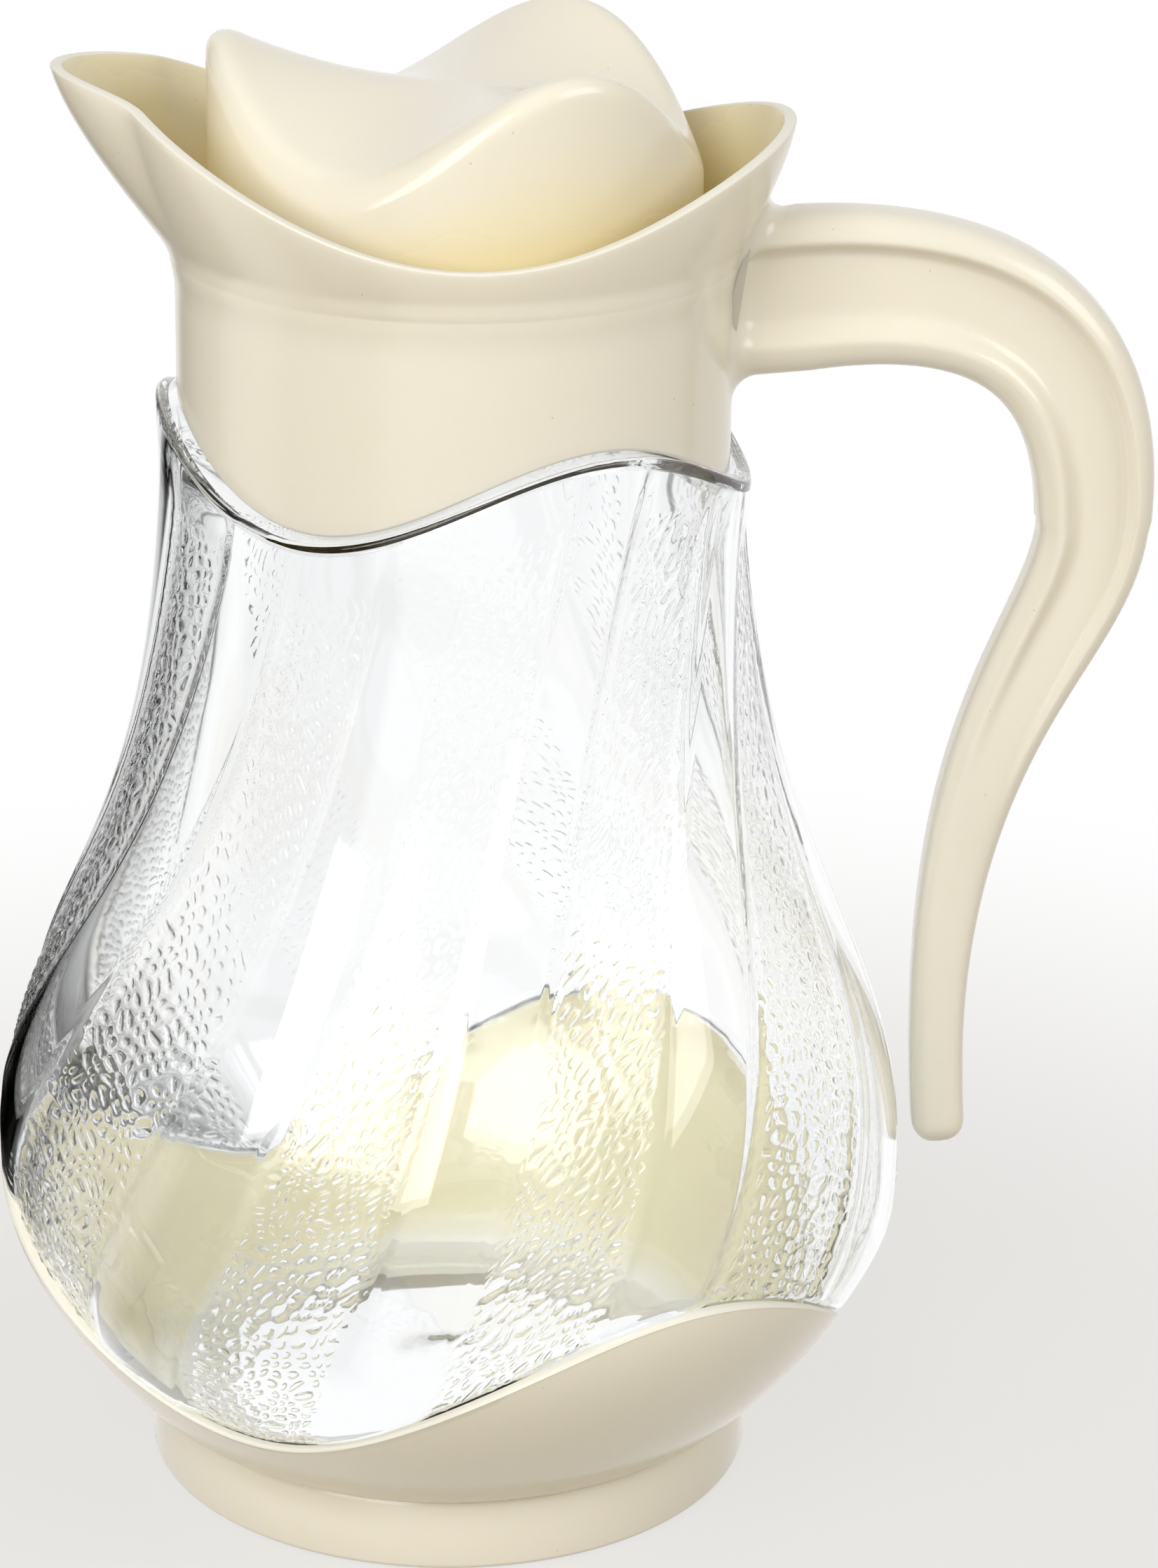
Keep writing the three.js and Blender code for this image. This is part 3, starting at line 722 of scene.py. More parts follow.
# %% [markdown]
# The rim rises and falls in three waves. Cutting them out of a tall cup would leave a sharp edge, so
# the wave lifts the bowl instead: its last few millimetres move as one, which keeps the rounded rim.
# Every lifted point slides along the pear, and keeps its distance from it.

# %% Wave the cup's rim
RIM_KEEP = 3 * MM
CUP_PAINTED_GLOW, RIM_PALE = 0.4, 0.8

turn, radius, height = read_round(cup)
inset = pear_radius(height) - radius
lift = np.clip((height - FOOT_HEIGHT) / (RIM_HEIGHT - RIM_KEEP - FOOT_HEIGHT), 0, 1)
waved = height + lift * (wave(turn, RIM_HEIGHT, RIM_SWING) - RIM_HEIGHT)
in_bowl = height > FOOT_HEIGHT
write_round(cup, turn, np.where(in_bowl, pear_radius(waved) - inset, radius), waved)
# The inside of the bowl gets a painted warm glow, a yellower tint that stands in for the light
# inside the cup, and the top of the rim gets the pale lip.
mark_points(cup, "depth", np.where(in_bowl & (inset > RIM_ROUND), CUP_PAINTED_GLOW, 0.0))
on_rim = in_bowl & (RIM_HEIGHT - height < RIM_ROUND / 2)
mark_points(cup, "lip", np.where(on_rim, RIM_PALE, 0.0))
finish_piece(cup, "jug", "base_cup", cream_base)
print("cup rim from", round(waved[on_rim].min() / MM, 1), "to", round(waved.max() / MM, 1), "mm")

# %% [markdown]
# The clear body
#
# The vessel is one closed skin: up the outside, over the mouth and down the inside. Ten flutes
# twist round it, each a smooth raised petal beside a sunken strip covered with pebbles, and the
# inside follows them, so that the wall is equally thick all over. A spun wall with a Displace
# modifier could carry flutes, but its points wouldn't follow them. So the skin will be a flat grid
# that is rolled up: its columns run up the flutes, crowded on the strips, and its rows are rings
# round the wall.

# %% Give each column its angle and its flute
FLUTES = 10
STRIP_COLUMNS, STEP_COLUMNS, PETAL_COLUMNS = 27, 3, 3
STRIP_SHARE, STEP_SHARE = 0.48, 0.1
FLUTE_START = math.radians(-83)
PETAL_RISE, PETAL_CROWN = 1.55 * MM, 0.4 * MM

flute_columns = STRIP_COLUMNS + 2 * STEP_COLUMNS + PETAL_COLUMNS
columns = FLUTES * flute_columns
flute, place = np.divmod(np.arange(columns), flute_columns)
petal_share = 1 - STRIP_SHARE - 2 * STEP_SHARE
stops = np.cumsum([0, STRIP_COLUMNS, STEP_COLUMNS, PETAL_COLUMNS, STEP_COLUMNS])
shares = np.cumsum([-STRIP_SHARE / 2, STRIP_SHARE, STEP_SHARE, petal_share, STEP_SHARE])
across = np.interp(place, stops, shares)
column_turn = FLUTE_START + (flute + across) * 2 * math.pi / FLUTES
off_strip = np.where(across <= 0.5, np.abs(across), 1 - across) - STRIP_SHARE / 2
petal_place = np.clip((off_strip - STEP_SHARE) / (petal_share / 2), 0, 1)
petal_step = smooth(off_strip, 0, STEP_SHARE)
petal_crown = PETAL_CROWN * (1 - (1 - petal_place) ** 2)
flute_rise = (PETAL_RISE - PETAL_CROWN) * petal_step + petal_crown
print("petals stand", round(flute_rise.max() / MM, 2), "mm proud of the strips")

# %% [markdown]
# The pebbles are real bumps in the mesh, since they break the outline and bend the light. They are
# little domes in staggered rows that follow each strip. Three sets of straight waves that cross at
# sixty degrees have their crests on such a pattern. A few broad waves of chance direction, drawn
# from a fixed seed, push the rows about, so that no two strips look alike.

# %% Set out the pebbles
PEBBLE_PITCH, PEBBLE_STRETCH = 2.6 * MM, 1.15
PUSH_WAVES, PUSH_SHORT, PUSH_LONG, PUSH_SIZE = 7, 5.5 * MM, 12 * MM, 0.32 * MM
PEBBLE_SEED = 11

draw = np.random.default_rng(PEBBLE_SEED)


def pebble_push(along, side):
    """A smooth push of chance size, for one direction, at places on the strips."""
    push = np.zeros(along.shape)
    for _ in range(PUSH_WAVES):
        heading, phase = draw.uniform(0, 2 * math.pi, 2)
        pace = 2 * math.pi / draw.uniform(PUSH_SHORT, PUSH_LONG)
        push += np.cos(pace * (along * math.cos(heading) + side * math.sin(heading)) + phase)
    return PUSH_SIZE * push


def pebble_domes(first, second):
    """Height share of the pebbles from two of the three wave phases."""
    third = second - first
    field = sum(np.cos(2 * math.pi * phase) for phase in (first, second, third))
    return smooth(field, PEBBLE_FOOT, PEBBLE_CROWN)


print("pebbles about", round(PEBBLE_PITCH / MM, 2), "mm apart")

# %% [markdown]
# A ring's climb runs from 0 at the cup's rim to 1 below the shoulder. Its angles twist with the
# climb and its heights follow both wavy edges. Below the shoulder each strip rises to the level of
# the petals, and near the cup the whole wall sinks a little, so that the cup's flat rim shows.

# %% Shape the rings of the flutes
FLUTE_TWIST = math.radians(44)
COLLAR_SWING, FIT_GAP, CUP_GAP = 7 * MM, 0.3 * MM, 0.45 * MM
SHOULDER_ROUND, ARCH_HEIGHT = 0.9 * MM, 14 * MM
CUP_SINK, CUP_SINK_REACH = 1.3 * MM, 22 * MM
OUTSIDE_RINGS = 186


def flute_rings(climb):
    """Angles, heights, radii, and distances from the cup and the shoulder, of rings at a climb."""
    turn = column_turn + FLUTE_TWIST * climb
    low = wave(turn, RIM_HEIGHT, RIM_SWING) + CUP_GAP
    high = wave(turn, SHOULDER_HEIGHT, COLLAR_SWING) - FIT_GAP - SHOULDER_ROUND
    height = low + climb * (high - low)
    arch = 1 - smooth(high - height, 0, ARCH_HEIGHT)
    sink = CUP_SINK * (1 - smooth(height - low, 0, CUP_SINK_REACH))
    radius = pear_radius(height) + flute_rise + (PETAL_RISE - flute_rise) * arch - sink
    return turn, height, radius, height - low, high - height


climb = np.linspace(0, 1, OUTSIDE_RINGS)[:, None]
flute_turn, flute_height, flute_radius, above_cup, below_shoulder = flute_rings(climb)
print("flutes from", round(flute_height.min() / MM), "to", round(flute_height.max() / MM), "mm")

# %% [markdown]
# The pebbles need the length along each strip and the distance to its side, both measured on the
# curved wall, or they would be stretched at the belly and squeezed at the neck.

# %% Measure the strips and lay the rows of pebbles
STRIP_APART = 300 * MM

steps_up = np.sqrt(
    np.diff(flute_radius, axis=0) ** 2 + np.diff(flute_height, axis=0) ** 2
    + (flute_radius[1:] * np.diff(flute_turn, axis=0)) ** 2)
along = np.vstack([np.zeros(columns), np.cumsum(steps_up, axis=0)])
side = np.where(across <= 0.5, across, across - 1) * flute_radius * 2 * math.pi / FLUTES
strip_number = np.where(across <= 0.5, flute, (flute + 1) % FLUTES)
apart = along + strip_number * STRIP_APART
row_phase = (along + pebble_push(apart, side)) / PEBBLE_STRETCH / PEBBLE_PITCH / math.sqrt(0.75)
line_phase = row_phase / 2 + (side + pebble_push(apart, side)) / PEBBLE_PITCH
print("longest strip", round(along.max() / MM), "mm, about", round(row_phase.max()), "rows")

# %% [markdown]
# The pebbles stop before the shoulder and at the edges of their strip, and higher up they are a
# little flatter. The foot of each petal is rounded off towards the cup.

# %% Raise the pebbles on the outside
PEBBLE_RISE, PEBBLE_STOP, PEBBLE_FADE = 0.25 * MM, 13 * MM, 6 * MM
PEBBLE_CALM, CALM_START, CALM_END = 0.35, 18 * MM, 60 * MM
STRIP_EDGE_IN, STRIP_EDGE_OUT = -0.01, 0.04
PETAL_END_ROUND = 1.2 * MM

strip_mask = (1 - smooth(off_strip, STRIP_EDGE_IN, STRIP_EDGE_OUT)) * smooth(
    below_shoulder, PEBBLE_STOP - PEBBLE_FADE, PEBBLE_STOP)
strip_mask *= 1 - PEBBLE_CALM * smooth(above_cup, CALM_START, CALM_END)
pebbles = pebble_domes(row_phase, line_phase) * strip_mask
rounding = PETAL_END_ROUND / 2 * (1 - smooth(above_cup, 0, PETAL_END_ROUND))
outside_radius = flute_radius + PEBBLE_RISE * pebbles - rounding
outside_rings = list(zip(flute_turn, outside_radius, flute_height))
print("outside rings:", OUTSIDE_RINGS, "- pebbles up to", round(PEBBLE_RISE / MM, 2), "mm high")

# %% [markdown]
# Below the flutes come the hidden rings: the underside with its dished middle, where the plastic
# entered the mould, and the seat inside the cup.

# %% Lay the underside and the seat
FLOOR_UNDER, FLOOR_TOP, FLOOR_RADIUS = 10.3 * MM, 12.5 * MM, 44.9 * MM
FLOOR_EDGE, FLOOR_EDGE_RISE = 2 * MM, 0.3 * MM
GATE_RADIUS, GATE_RISE, GATE_FLAT, GATE_STEPS = 14 * MM, 0.8 * MM, 0.3, 9
CUP_PLAY, SEAT_STEPS = 0.8 * MM, 8

lower_rings = [
    (column_turn, share * GATE_RADIUS, FLOOR_UNDER + GATE_RISE * (1 - smooth(share, GATE_FLAT, 1)))
    for share in np.linspace(0, 1, GATE_STEPS)
]
lower_rings += [
    (column_turn, FLOOR_RADIUS - FLOOR_EDGE, FLOOR_UNDER),
    (column_turn, FLOOR_RADIUS, FLOOR_UNDER + FLOOR_EDGE_RISE),
]
seat_top = wave(column_turn, RIM_HEIGHT, RIM_SWING) + CUP_GAP
for share in np.linspace(0, 1, SEAT_STEPS):
    height = FOOT_HEIGHT + share * (seat_top - FOOT_HEIGHT)
    lower_rings.append((column_turn, pear_radius(height) - CUP_WALL - CUP_PLAY, height))
print("lower rings:", len(lower_rings))

# %% [markdown]
# Above the flutes come the rounded shoulder, the neck that goes up inside the collar, and the mouth.
# Then the wall turns down again along the inside of the neck to the inner side of the shoulder.

# %% Lay the shoulder, the neck and the mouth
BODY_WALL, SHOULDER_STEPS = 2.2 * MM, 7
NECK_OUTSIDE, NECK_BORE, MOUTH_ROUND = 44.1 * MM, 41.9 * MM, 0.8 * MM
INNER_CORNER, INNER_END = 0.2 * BODY_WALL, 0.4 * BODY_WALL

top_turn, shoulder_low, shoulder_radius = flute_turn[-1], flute_height[-1], flute_radius[-1]
shoulder, mouth_top = shoulder_low + SHOULDER_ROUND, body_high.z
neck_outline = [
    (shoulder_radius - SHOULDER_ROUND * (1 - math.cos(a)),
     shoulder_low + SHOULDER_ROUND * math.sin(a))
    for a in np.linspace(0, math.pi / 2, SHOULDER_STEPS)[1:]
]
neck_outline += [
    (NECK_OUTSIDE, shoulder), (NECK_OUTSIDE, mouth_top - MOUTH_ROUND),
    (NECK_OUTSIDE - MOUTH_ROUND / 2, mouth_top), (NECK_BORE + MOUTH_ROUND / 2, mouth_top),
    (NECK_BORE, mouth_top - MOUTH_ROUND), (NECK_BORE, shoulder - BODY_WALL + INNER_CORNER),
    (NECK_BORE + INNER_CORNER, shoulder - BODY_WALL),
    (shoulder_radius - SHOULDER_ROUND - INNER_END, shoulder - BODY_WALL),
]
upper_rings = [(top_turn, radius, height) for radius, height in neck_outline]
print("neck rings:", len(upper_rings), "- mouth at", round(mouth_top / MM, 1), "mm")

# %% [markdown]
# The inside follows the flutes at one wall's distance, without the pebbles. Below them come the seat
# and the floor, with a small smooth nub in the middle.

# %% Lay the inside and the floor
INSIDE_RINGS, INSIDE_TOP = 46, 0.995
SEAT_SHARES = (0.9, 0.7, 0.45, 0.2, 0.08)
FLOOR_CORNER, FLOOR_CORNER_RISE = 3 * MM, 0.5 * MM
NUB_RADIUS, NUB_RISE = 3 * MM, 0.25 * MM
NUB_OUTLINE = ((1, 0), (0.75, 0.2), (0.4, 0.8), (0, 1))

for share in np.linspace(INSIDE_TOP, 0, INSIDE_RINGS):
    turn, height, radius = flute_rings(share)[:3]
    upper_rings.append((turn, radius - BODY_WALL, height))
for share in SEAT_SHARES:
    height = FOOT_HEIGHT + BODY_WALL + share * (seat_top - BODY_WALL - FOOT_HEIGHT)
    seat_radius = pear_radius(height) - CUP_WALL - CUP_PLAY - BODY_WALL
    upper_rings.append((column_turn, seat_radius, height))
floor_edge = FLOOR_RADIUS - BODY_WALL
floor_outline = [
    (floor_edge, FLOOR_TOP + FLOOR_CORNER_RISE), (floor_edge - FLOOR_CORNER, FLOOR_TOP),
    (floor_edge / 2, FLOOR_TOP)]
floor_outline += [(NUB_RADIUS * r, FLOOR_TOP + NUB_RISE * z) for r, z in NUB_OUTLINE]
upper_rings += [(column_turn, radius, height) for radius, height in floor_outline]
print("upper rings:", len(upper_rings))

# %% [markdown]
# Now every ring has its angles, radii and heights. A grid is added with a row for each ring, and its
# points take the place that their ring and column give.

# %% Roll a grid up along the rings
wall_rings = lower_rings + outside_rings + upper_rings
wall = np.array([[np.broadcast_to(values, columns) for values in ring] for ring in wall_rings])
last_ring = len(wall_rings) - 1
bpy.ops.object.select_all(action="DESELECT")
bpy.ops.mesh.primitive_grid_add(
    x_subdivisions=columns, y_subdivisions=last_ring, size=2, location=(0, 0, 0))
body = bpy.context.object
body.name = body.data.name = "clear_pear"
grid_x, grid_y, _ = read_points(body)
column = np.round((grid_x + 1) / 2 * columns).astype(int) % columns
ring = np.round((grid_y + 1) / 2 * last_ring).astype(int)
write_round(body, *(wall[ring, layer, column] for layer in range(3)))
print("grid:", columns, "columns,", len(wall_rings), "rings")

# %% [markdown]
# The points of the outside store where the strips are and the phases of the pebbles' waves, for the
# material. Then the seam and the two poles are merged, and the faces are turned outward.

# %% Close the skin and dress it
shown = slice(len(lower_rings), len(lower_rings) + OUTSIDE_RINGS)
layers = {"strip": strip_mask, "pebble_row": row_phase, "pebble_line": line_phase}
for layer, values in layers.items():
    wall_values = np.zeros((len(wall_rings), columns))
    wall_values[shown] = values
    mark_points(body, layer, wall_values[ring, column])
close_skin()
finish_piece(body, "jug", "clear_body", clear, crisp=60)
print("clear body:", len(body.data.polygons), "faces")

# %% [markdown]
# The collar
#
# The collar is one moulding: a plain band round the neck, a funnel that flares from a soft crease
# and ends in a flat lip, and a shelf inside for the lid. A funnel with a spout could be lofted from
# curves, but spinning keeps the wall and the lip even. So its section is spun with the funnel still
# straight, and each point above the crease then moves out to the funnel's own curve.

# %% Draw and spin the collar
COLLAR_RADIUS, COLLAR_WALL = 46.6 * MM, 2.2 * MM
CREASE_HEIGHT, FUNNEL_HEIGHT = 218.5 * MM, 20 * MM
SHELF_BORE, SHELF_WALL, SHELF_CORNER = 41.6 * MM, 2.2 * MM, 0.4 * MM
LIP_WIDTH, LIP_ROUND, LIP_POINTS, EDGE_ROUND = 2 * MM, 0.4 * MM, 4, 0.7 * MM
BAND_STEPS, FUNNEL_STEPS, FUNNEL_CROWD, COLLAR_STEPS = 14, 26, 1.4, 360

band_bore, funnel_bore = COLLAR_RADIUS - COLLAR_WALL, COLLAR_RADIUS - LIP_WIDTH
lip_height = CREASE_HEIGHT + FUNNEL_HEIGHT
lip_low, shelf_low = lip_height - LIP_ROUND, CREASE_HEIGHT - SHELF_WALL
band_heights = np.linspace(SHOULDER_HEIGHT + EDGE_ROUND, CREASE_HEIGHT, BAND_STEPS)[1:]
funnel_shares = np.linspace(0, 1, FUNNEL_STEPS)[1:-1] ** FUNNEL_CROWD
funnel_heights = CREASE_HEIGHT + (lip_low - CREASE_HEIGHT) * funnel_shares
collar_section = (
    [(band_bore, SHOULDER_HEIGHT + EDGE_ROUND / 2), (band_bore + EDGE_ROUND / 2, SHOULDER_HEIGHT)]
    + arc(COLLAR_RADIUS - EDGE_ROUND, SHOULDER_HEIGHT + EDGE_ROUND, EDGE_ROUND, -90, 0)
    + [(COLLAR_RADIUS, z) for z in (*band_heights, *funnel_heights)]
    + arc(COLLAR_RADIUS - LIP_ROUND, lip_low, LIP_ROUND, 0, 90, LIP_POINTS)
    + arc(funnel_bore + LIP_ROUND, lip_low, LIP_ROUND, 90, 180, LIP_POINTS)
    + [(funnel_bore, z) for z in funnel_heights[::-1]]
    + [(funnel_bore - SHELF_CORNER, CREASE_HEIGHT), (SHELF_BORE, CREASE_HEIGHT)]
    + [(SHELF_BORE, shelf_low), (band_bore, shelf_low)]
)
collar = spin_section("cream_collar", collar_section, COLLAR_STEPS)

# %% [markdown]
# The funnel's rim is lowest at the two sides. It rises to a rounded crest over the handle and to a
# higher one at the spout, where it is drawn out to a narrow beak. The rim's radius and height at
# any angle come from a few cosines, and the wall swells from the crease to the rim.

# %% Write the funnel's shape
DIP_ANGLE = math.radians(85.6)
DIP_FLARE, DIP_RISE = 3.3 * MM, 8.9 * MM
REAR_FLARE, REAR_FLARE_POWER, REAR_RISE = 6.2 * MM, 3.8, 15 * MM
SPOUT_FLARE, SPOUT_FLARE_POWER, SPOUT_RISE = 7.4 * MM, 1.5, 22.5 * MM
BEAK_LENGTH, BEAK_REACH, BEAK_POWER = 9.2 * MM, math.radians(24), 1.7
FUNNEL_POWER = 1.36
CREASE_SOFT, CREASE_RING, CREASE_SPAN = 0.05, 0.8 * MM, 4 * MM


def funnel_rim(turn):
    """Radius and height of the funnel's rim at an angle."""
    from_handle = np.abs(np.arctan2(np.sin(turn), np.cos(turn)))
    from_spout = math.pi - from_handle
    rear = from_handle < DIP_ANGLE
    span = np.where(rear, from_handle / DIP_ANGLE, from_spout / (math.pi - DIP_ANGLE))
    crest = np.clip(np.cos(span * math.pi / 2), 0, 1)
    rear_flare = REAR_FLARE * crest ** REAR_FLARE_POWER
    flare = np.where(rear, rear_flare, SPOUT_FLARE * crest ** SPOUT_FLARE_POWER)
    rise = np.where(rear, REAR_RISE, SPOUT_RISE) * crest ** 2
    near = np.clip(1 - from_spout / BEAK_REACH, 0, 1)
    beak = BEAK_LENGTH * np.sin(near * math.pi / 2) ** BEAK_POWER
    return COLLAR_RADIUS + DIP_FLARE + flare + beak, CREASE_HEIGHT + DIP_RISE + rise


def collar_radius(turn, height):
    """Radius of the collar's outside, with its soft crease."""
    rim_radius, rim_height = funnel_rim(turn)
    share = np.clip((height - CREASE_HEIGHT) / (rim_height - CREASE_HEIGHT), 0, 1)
    soft = np.where(share < CREASE_SOFT, share ** 2 / (2 * CREASE_SOFT), share - CREASE_SOFT / 2)
    swell = 1 - (1 - soft / (1 - CREASE_SOFT / 2)) ** FUNNEL_POWER
    ring = CREASE_RING * (1 - smooth(np.abs(height - CREASE_HEIGHT), 0, CREASE_SPAN))
    return COLLAR_RADIUS + (rim_radius - COLLAR_RADIUS) * swell + ring


tip_out, tip_up = (round(float(size) / MM, 1) for size in funnel_rim(math.pi))
print("spout tip", tip_out, "mm out,", tip_up, "mm high")

# %% [markdown]
# Points above the crease go out to the funnel and up to its rim. Points below it follow the wave of
# the band's lower edge, which fades upwards. The flat lip is marked for the material, and the inside
# of the funnel for a painted warm glow that stands in for light passing from wall to wall and fades
# towards the rim.

# %% Flare the funnel and wave the band's edge
EDGE_KEEP, EDGE_REACH = 2 * MM, 16 * MM
OUTSIDE_DEPTH, LIP_EDGE, LIP_BAND = 1.5 * EDGE_ROUND, 0.1 * LIP_ROUND, 0.6 * LIP_ROUND
FUNNEL_PAINTED_GLOW, FUNNEL_PAINTED_GLOW_FADE = 0.85, 0.6

turn, radius, height = read_round(collar)
inset = COLLAR_RADIUS - radius
above = height > CREASE_HEIGHT
lift = np.clip((height - CREASE_HEIGHT) / (FUNNEL_HEIGHT - LIP_ROUND), 0, 1)
drop = 1 - smooth(height - SHOULDER_HEIGHT, EDGE_KEEP, EDGE_REACH)
shaped_height = np.where(
    above, height + lift * (funnel_rim(turn)[1] - lip_height),
    height + drop * (wave(turn, SHOULDER_HEIGHT, COLLAR_SWING) - SHOULDER_HEIGHT))
outside = inset < OUTSIDE_DEPTH
shaped_radius = np.where(above | outside, collar_radius(turn, shaped_height) - inset, radius)
write_round(collar, turn, shaped_radius, shaped_height)

on_lip = above & (height > lip_height - LIP_BAND)
in_funnel = above & (inset > LIP_WIDTH - LIP_EDGE) & ~on_lip
# The inside of the funnel gets a painted warm glow.
mark_points(collar, "depth", np.where(in_funnel, FUNNEL_PAINTED_GLOW - FUNNEL_PAINTED_GLOW_FADE * lift, 0.0))
mark_points(collar, "lip", np.where(on_lip, 1.0, 0.0))
finish_piece(collar, "jug", "spout_collar", cream_collar, crisp=50)
print("collar top", round(shaped_height.max() / MM, 1), "mm")

# %% [markdown]
# The handle
#
# The handle is moulded with the collar. It arches out of the band, hangs down in an S and ends free
# beside the belly, with a hollow channel along each side of its upper half. A curve with a bevel
# would be quick, but its section couldn't change on the way. So it is made as one would draw it: a
# ring, extruded step by step along a middle line, each ring then laid to its own width, depth and
# channel.

# %% Draw the handle's middle line
HANDLE_ROOT_DEPTH, HANDLE_CROWN_DEPTH, HANDLE_TIP_DEPTH = 29 * MM, 19.7 * MM, 9.5 * MM
ROOT_DROP, ROOT_SLOPE, ARCH_OUT, ARCH_UP = 7.5 * MM, math.radians(11.4), 43.7 * MM, 34 * MM
CROWN_DROP, CROWN_DOWN, REACH_SPARE = 45 * MM, 21.8 * MM, 0.15 * MM
TIP_GAP, TIP_LEAN, TIP_UP = 1 * MM, math.radians(4.7), 75 * MM

handle_tip = np.array([
    BELLY_RADIUS + PETAL_RISE + TIP_GAP + HANDLE_TIP_DEPTH / 2,
    collar_low.z + HANDLE_TIP_DEPTH / 2])
crown = np.array([
    collar_high.x - AXIS_X - REACH_SPARE - HANDLE_CROWN_DEPTH / 2, CREASE_HEIGHT - CROWN_DROP])
root = np.array([band_bore, CREASE_HEIGHT - ROOT_DROP])
up = np.array([0, 1])
arch_line = bezier(
    root, root + ARCH_OUT * np.array([math.cos(ROOT_SLOPE), math.sin(ROOT_SLOPE)]),
    crown + ARCH_UP * up, crown)
hook_line = bezier(
    crown, crown - CROWN_DOWN * up,
    handle_tip + TIP_UP * np.array([-math.sin(TIP_LEAN), math.cos(TIP_LEAN)]), handle_tip)
spine = np.vstack([arch_line, hook_line[1:]])
spine_length = np.concatenate([[0], np.cumsum(np.hypot(*np.diff(spine, axis=0).T))])
crown_at = spine_length[len(arch_line) - 1]
spine_end = spine_length[-1]
print("handle", round(spine_end / MM), "mm long, crown at", round(crown_at / MM))

# %% [markdown]
# The section is a rounded oblong. Its sides are hollowed by the channel, with a flange above and
# below, so that it looks like a soft I. Both edges of the channel are rounded, the lower one more.

# %% Draw the handle's section
HANDLE_COLUMNS = 96
SQUARENESS = 0.62
CHANNEL_TOP, CHANNEL_TOP_EDGE = 0.48, 0.2
CHANNEL_LOW, CHANNEL_LOW_EDGE = -0.62, 0.34

section_turn = np.arange(HANDLE_COLUMNS) / HANDLE_COLUMNS * 2 * math.pi
deep, wide = (
    np.sign(part) * np.abs(part) ** SQUARENESS
    for part in (np.cos(section_turn), np.sin(section_turn)))
hollow = (
    (1 - smooth(deep, CHANNEL_TOP, CHANNEL_TOP + CHANNEL_TOP_EDGE))
    * smooth(deep, CHANNEL_LOW, CHANNEL_LOW + CHANNEL_LOW_EDGE))
print("section points:", HANDLE_COLUMNS)

# %% [markdown]
# Along its length the handle gets thinner and narrower. The channel is deepest from the root to the
# crown, then it fades out.

# %% Size the handle's rings
HANDLE_ROOT_WIDTH, HANDLE_TIP_WIDTH = 16 * MM, 10 * MM
CHANNEL_DEPTH, CHANNEL_FADE = 3.6 * MM, 0.72
TAPER_LEAD, TAPER_END = 0.1, 0.95
SPINE_STEP = 0.5 * MM


def handle_sizes(length):
    """Depth, width and channel of the handle at a length along its middle line."""
    share, crown_share = length / spine_end, crown_at / spine_end
    arch_depth = HANDLE_ROOT_DEPTH + (HANDLE_CROWN_DEPTH - HANDLE_ROOT_DEPTH) * share / crown_share
    taper = smooth(share, crown_share - TAPER_LEAD, TAPER_END)
    hook_depth = HANDLE_CROWN_DEPTH + (HANDLE_TIP_DEPTH - HANDLE_CROWN_DEPTH) * taper
    depth = arch_depth if share < crown_share else hook_depth
    slim = smooth(share, crown_share / 2, 1)
    width = HANDLE_ROOT_WIDTH + (HANDLE_TIP_WIDTH - HANDLE_ROOT_WIDTH) * slim
    return depth, width, CHANNEL_DEPTH * (1 - smooth(share, crown_share, CHANNEL_FADE))


def spine_place(length):
    """The place on the middle line at a length along it."""
    return np.array([np.interp(length, spine_length, spine[:, i]) for i in (0, 1)])


def handle_ring(length, slim=1.0, forward=0.0):
    """Points of the ring at a length along the middle line, as x, y, z from the jug's axis."""
    ahead = spine_place(length + SPINE_STEP) - spine_place(length - SPINE_STEP)
    along = ahead / np.hypot(*ahead)
    outward = np.array([-along[1], along[0]])
    depth, width, channel = handle_sizes(length)
    middle = spine_place(length) + along * forward
    out = deep * depth / 2 * slim
    side = wide * (width / 2 - channel * hollow) * slim
    return np.stack([middle[0] + outward[0] * out, side, middle[1] + outward[1] * out], axis=1)


print("sizes at the crown:", [round(float(size) / MM, 1) for size in handle_sizes(crown_at)])

# %% [markdown]
# At the root the handle blends into the collar with a small fillet. Bevel can't round the meeting of
# two separate meshes, so the fillet is part of the handle: each of its rings is the handle's own
# outline, grown outwards and laid that much nearer to the collar's surface, until the last one lies
# on it. One more ring sits inside the collar's wall, where the skin is closed.

# %% Blend the root into the collar
ROOT_FILLET, FILLET_STEPS = 4.6 * MM, 9
ROOT_LENGTH, SUNK = 9 * MM, 0.9 * MM
FACE_ROUNDS = 6


def collar_face(side, height):
    """How far out the collar's outside is at a place beside and above the handle's plane."""
    reach = np.full(len(side), COLLAR_RADIUS)
    for _ in range(FACE_ROUNDS):
        reach = np.sqrt(collar_radius(np.arctan2(side, reach), height) ** 2 - side ** 2)
    return reach


root_edge = handle_ring(ROOT_LENGTH)[:, 1:]
edge_way = np.roll(root_edge, -1, axis=0) - np.roll(root_edge, 1, axis=0)
edge_out = np.stack([edge_way[:, 1], -edge_way[:, 0]], axis=1)
edge_out /= np.hypot(*edge_out.T)[:, None]
if np.sum(edge_out * (root_edge - root_edge.mean(axis=0))) < 0:
    edge_out = -edge_out
rings = []
for a in np.linspace(math.pi / 2, 0, FILLET_STEPS):
    grown = root_edge + edge_out * ROOT_FILLET * (1 - math.cos(a))
    reach = collar_face(grown[:, 0], grown[:, 1]) + ROOT_FILLET * (1 - math.sin(a))
    rings.append(np.column_stack([reach, grown]))
sunk = rings[0].copy()
sunk[:, 0] -= SUNK
rings.insert(0, sunk)
print("root rings:", len(rings))

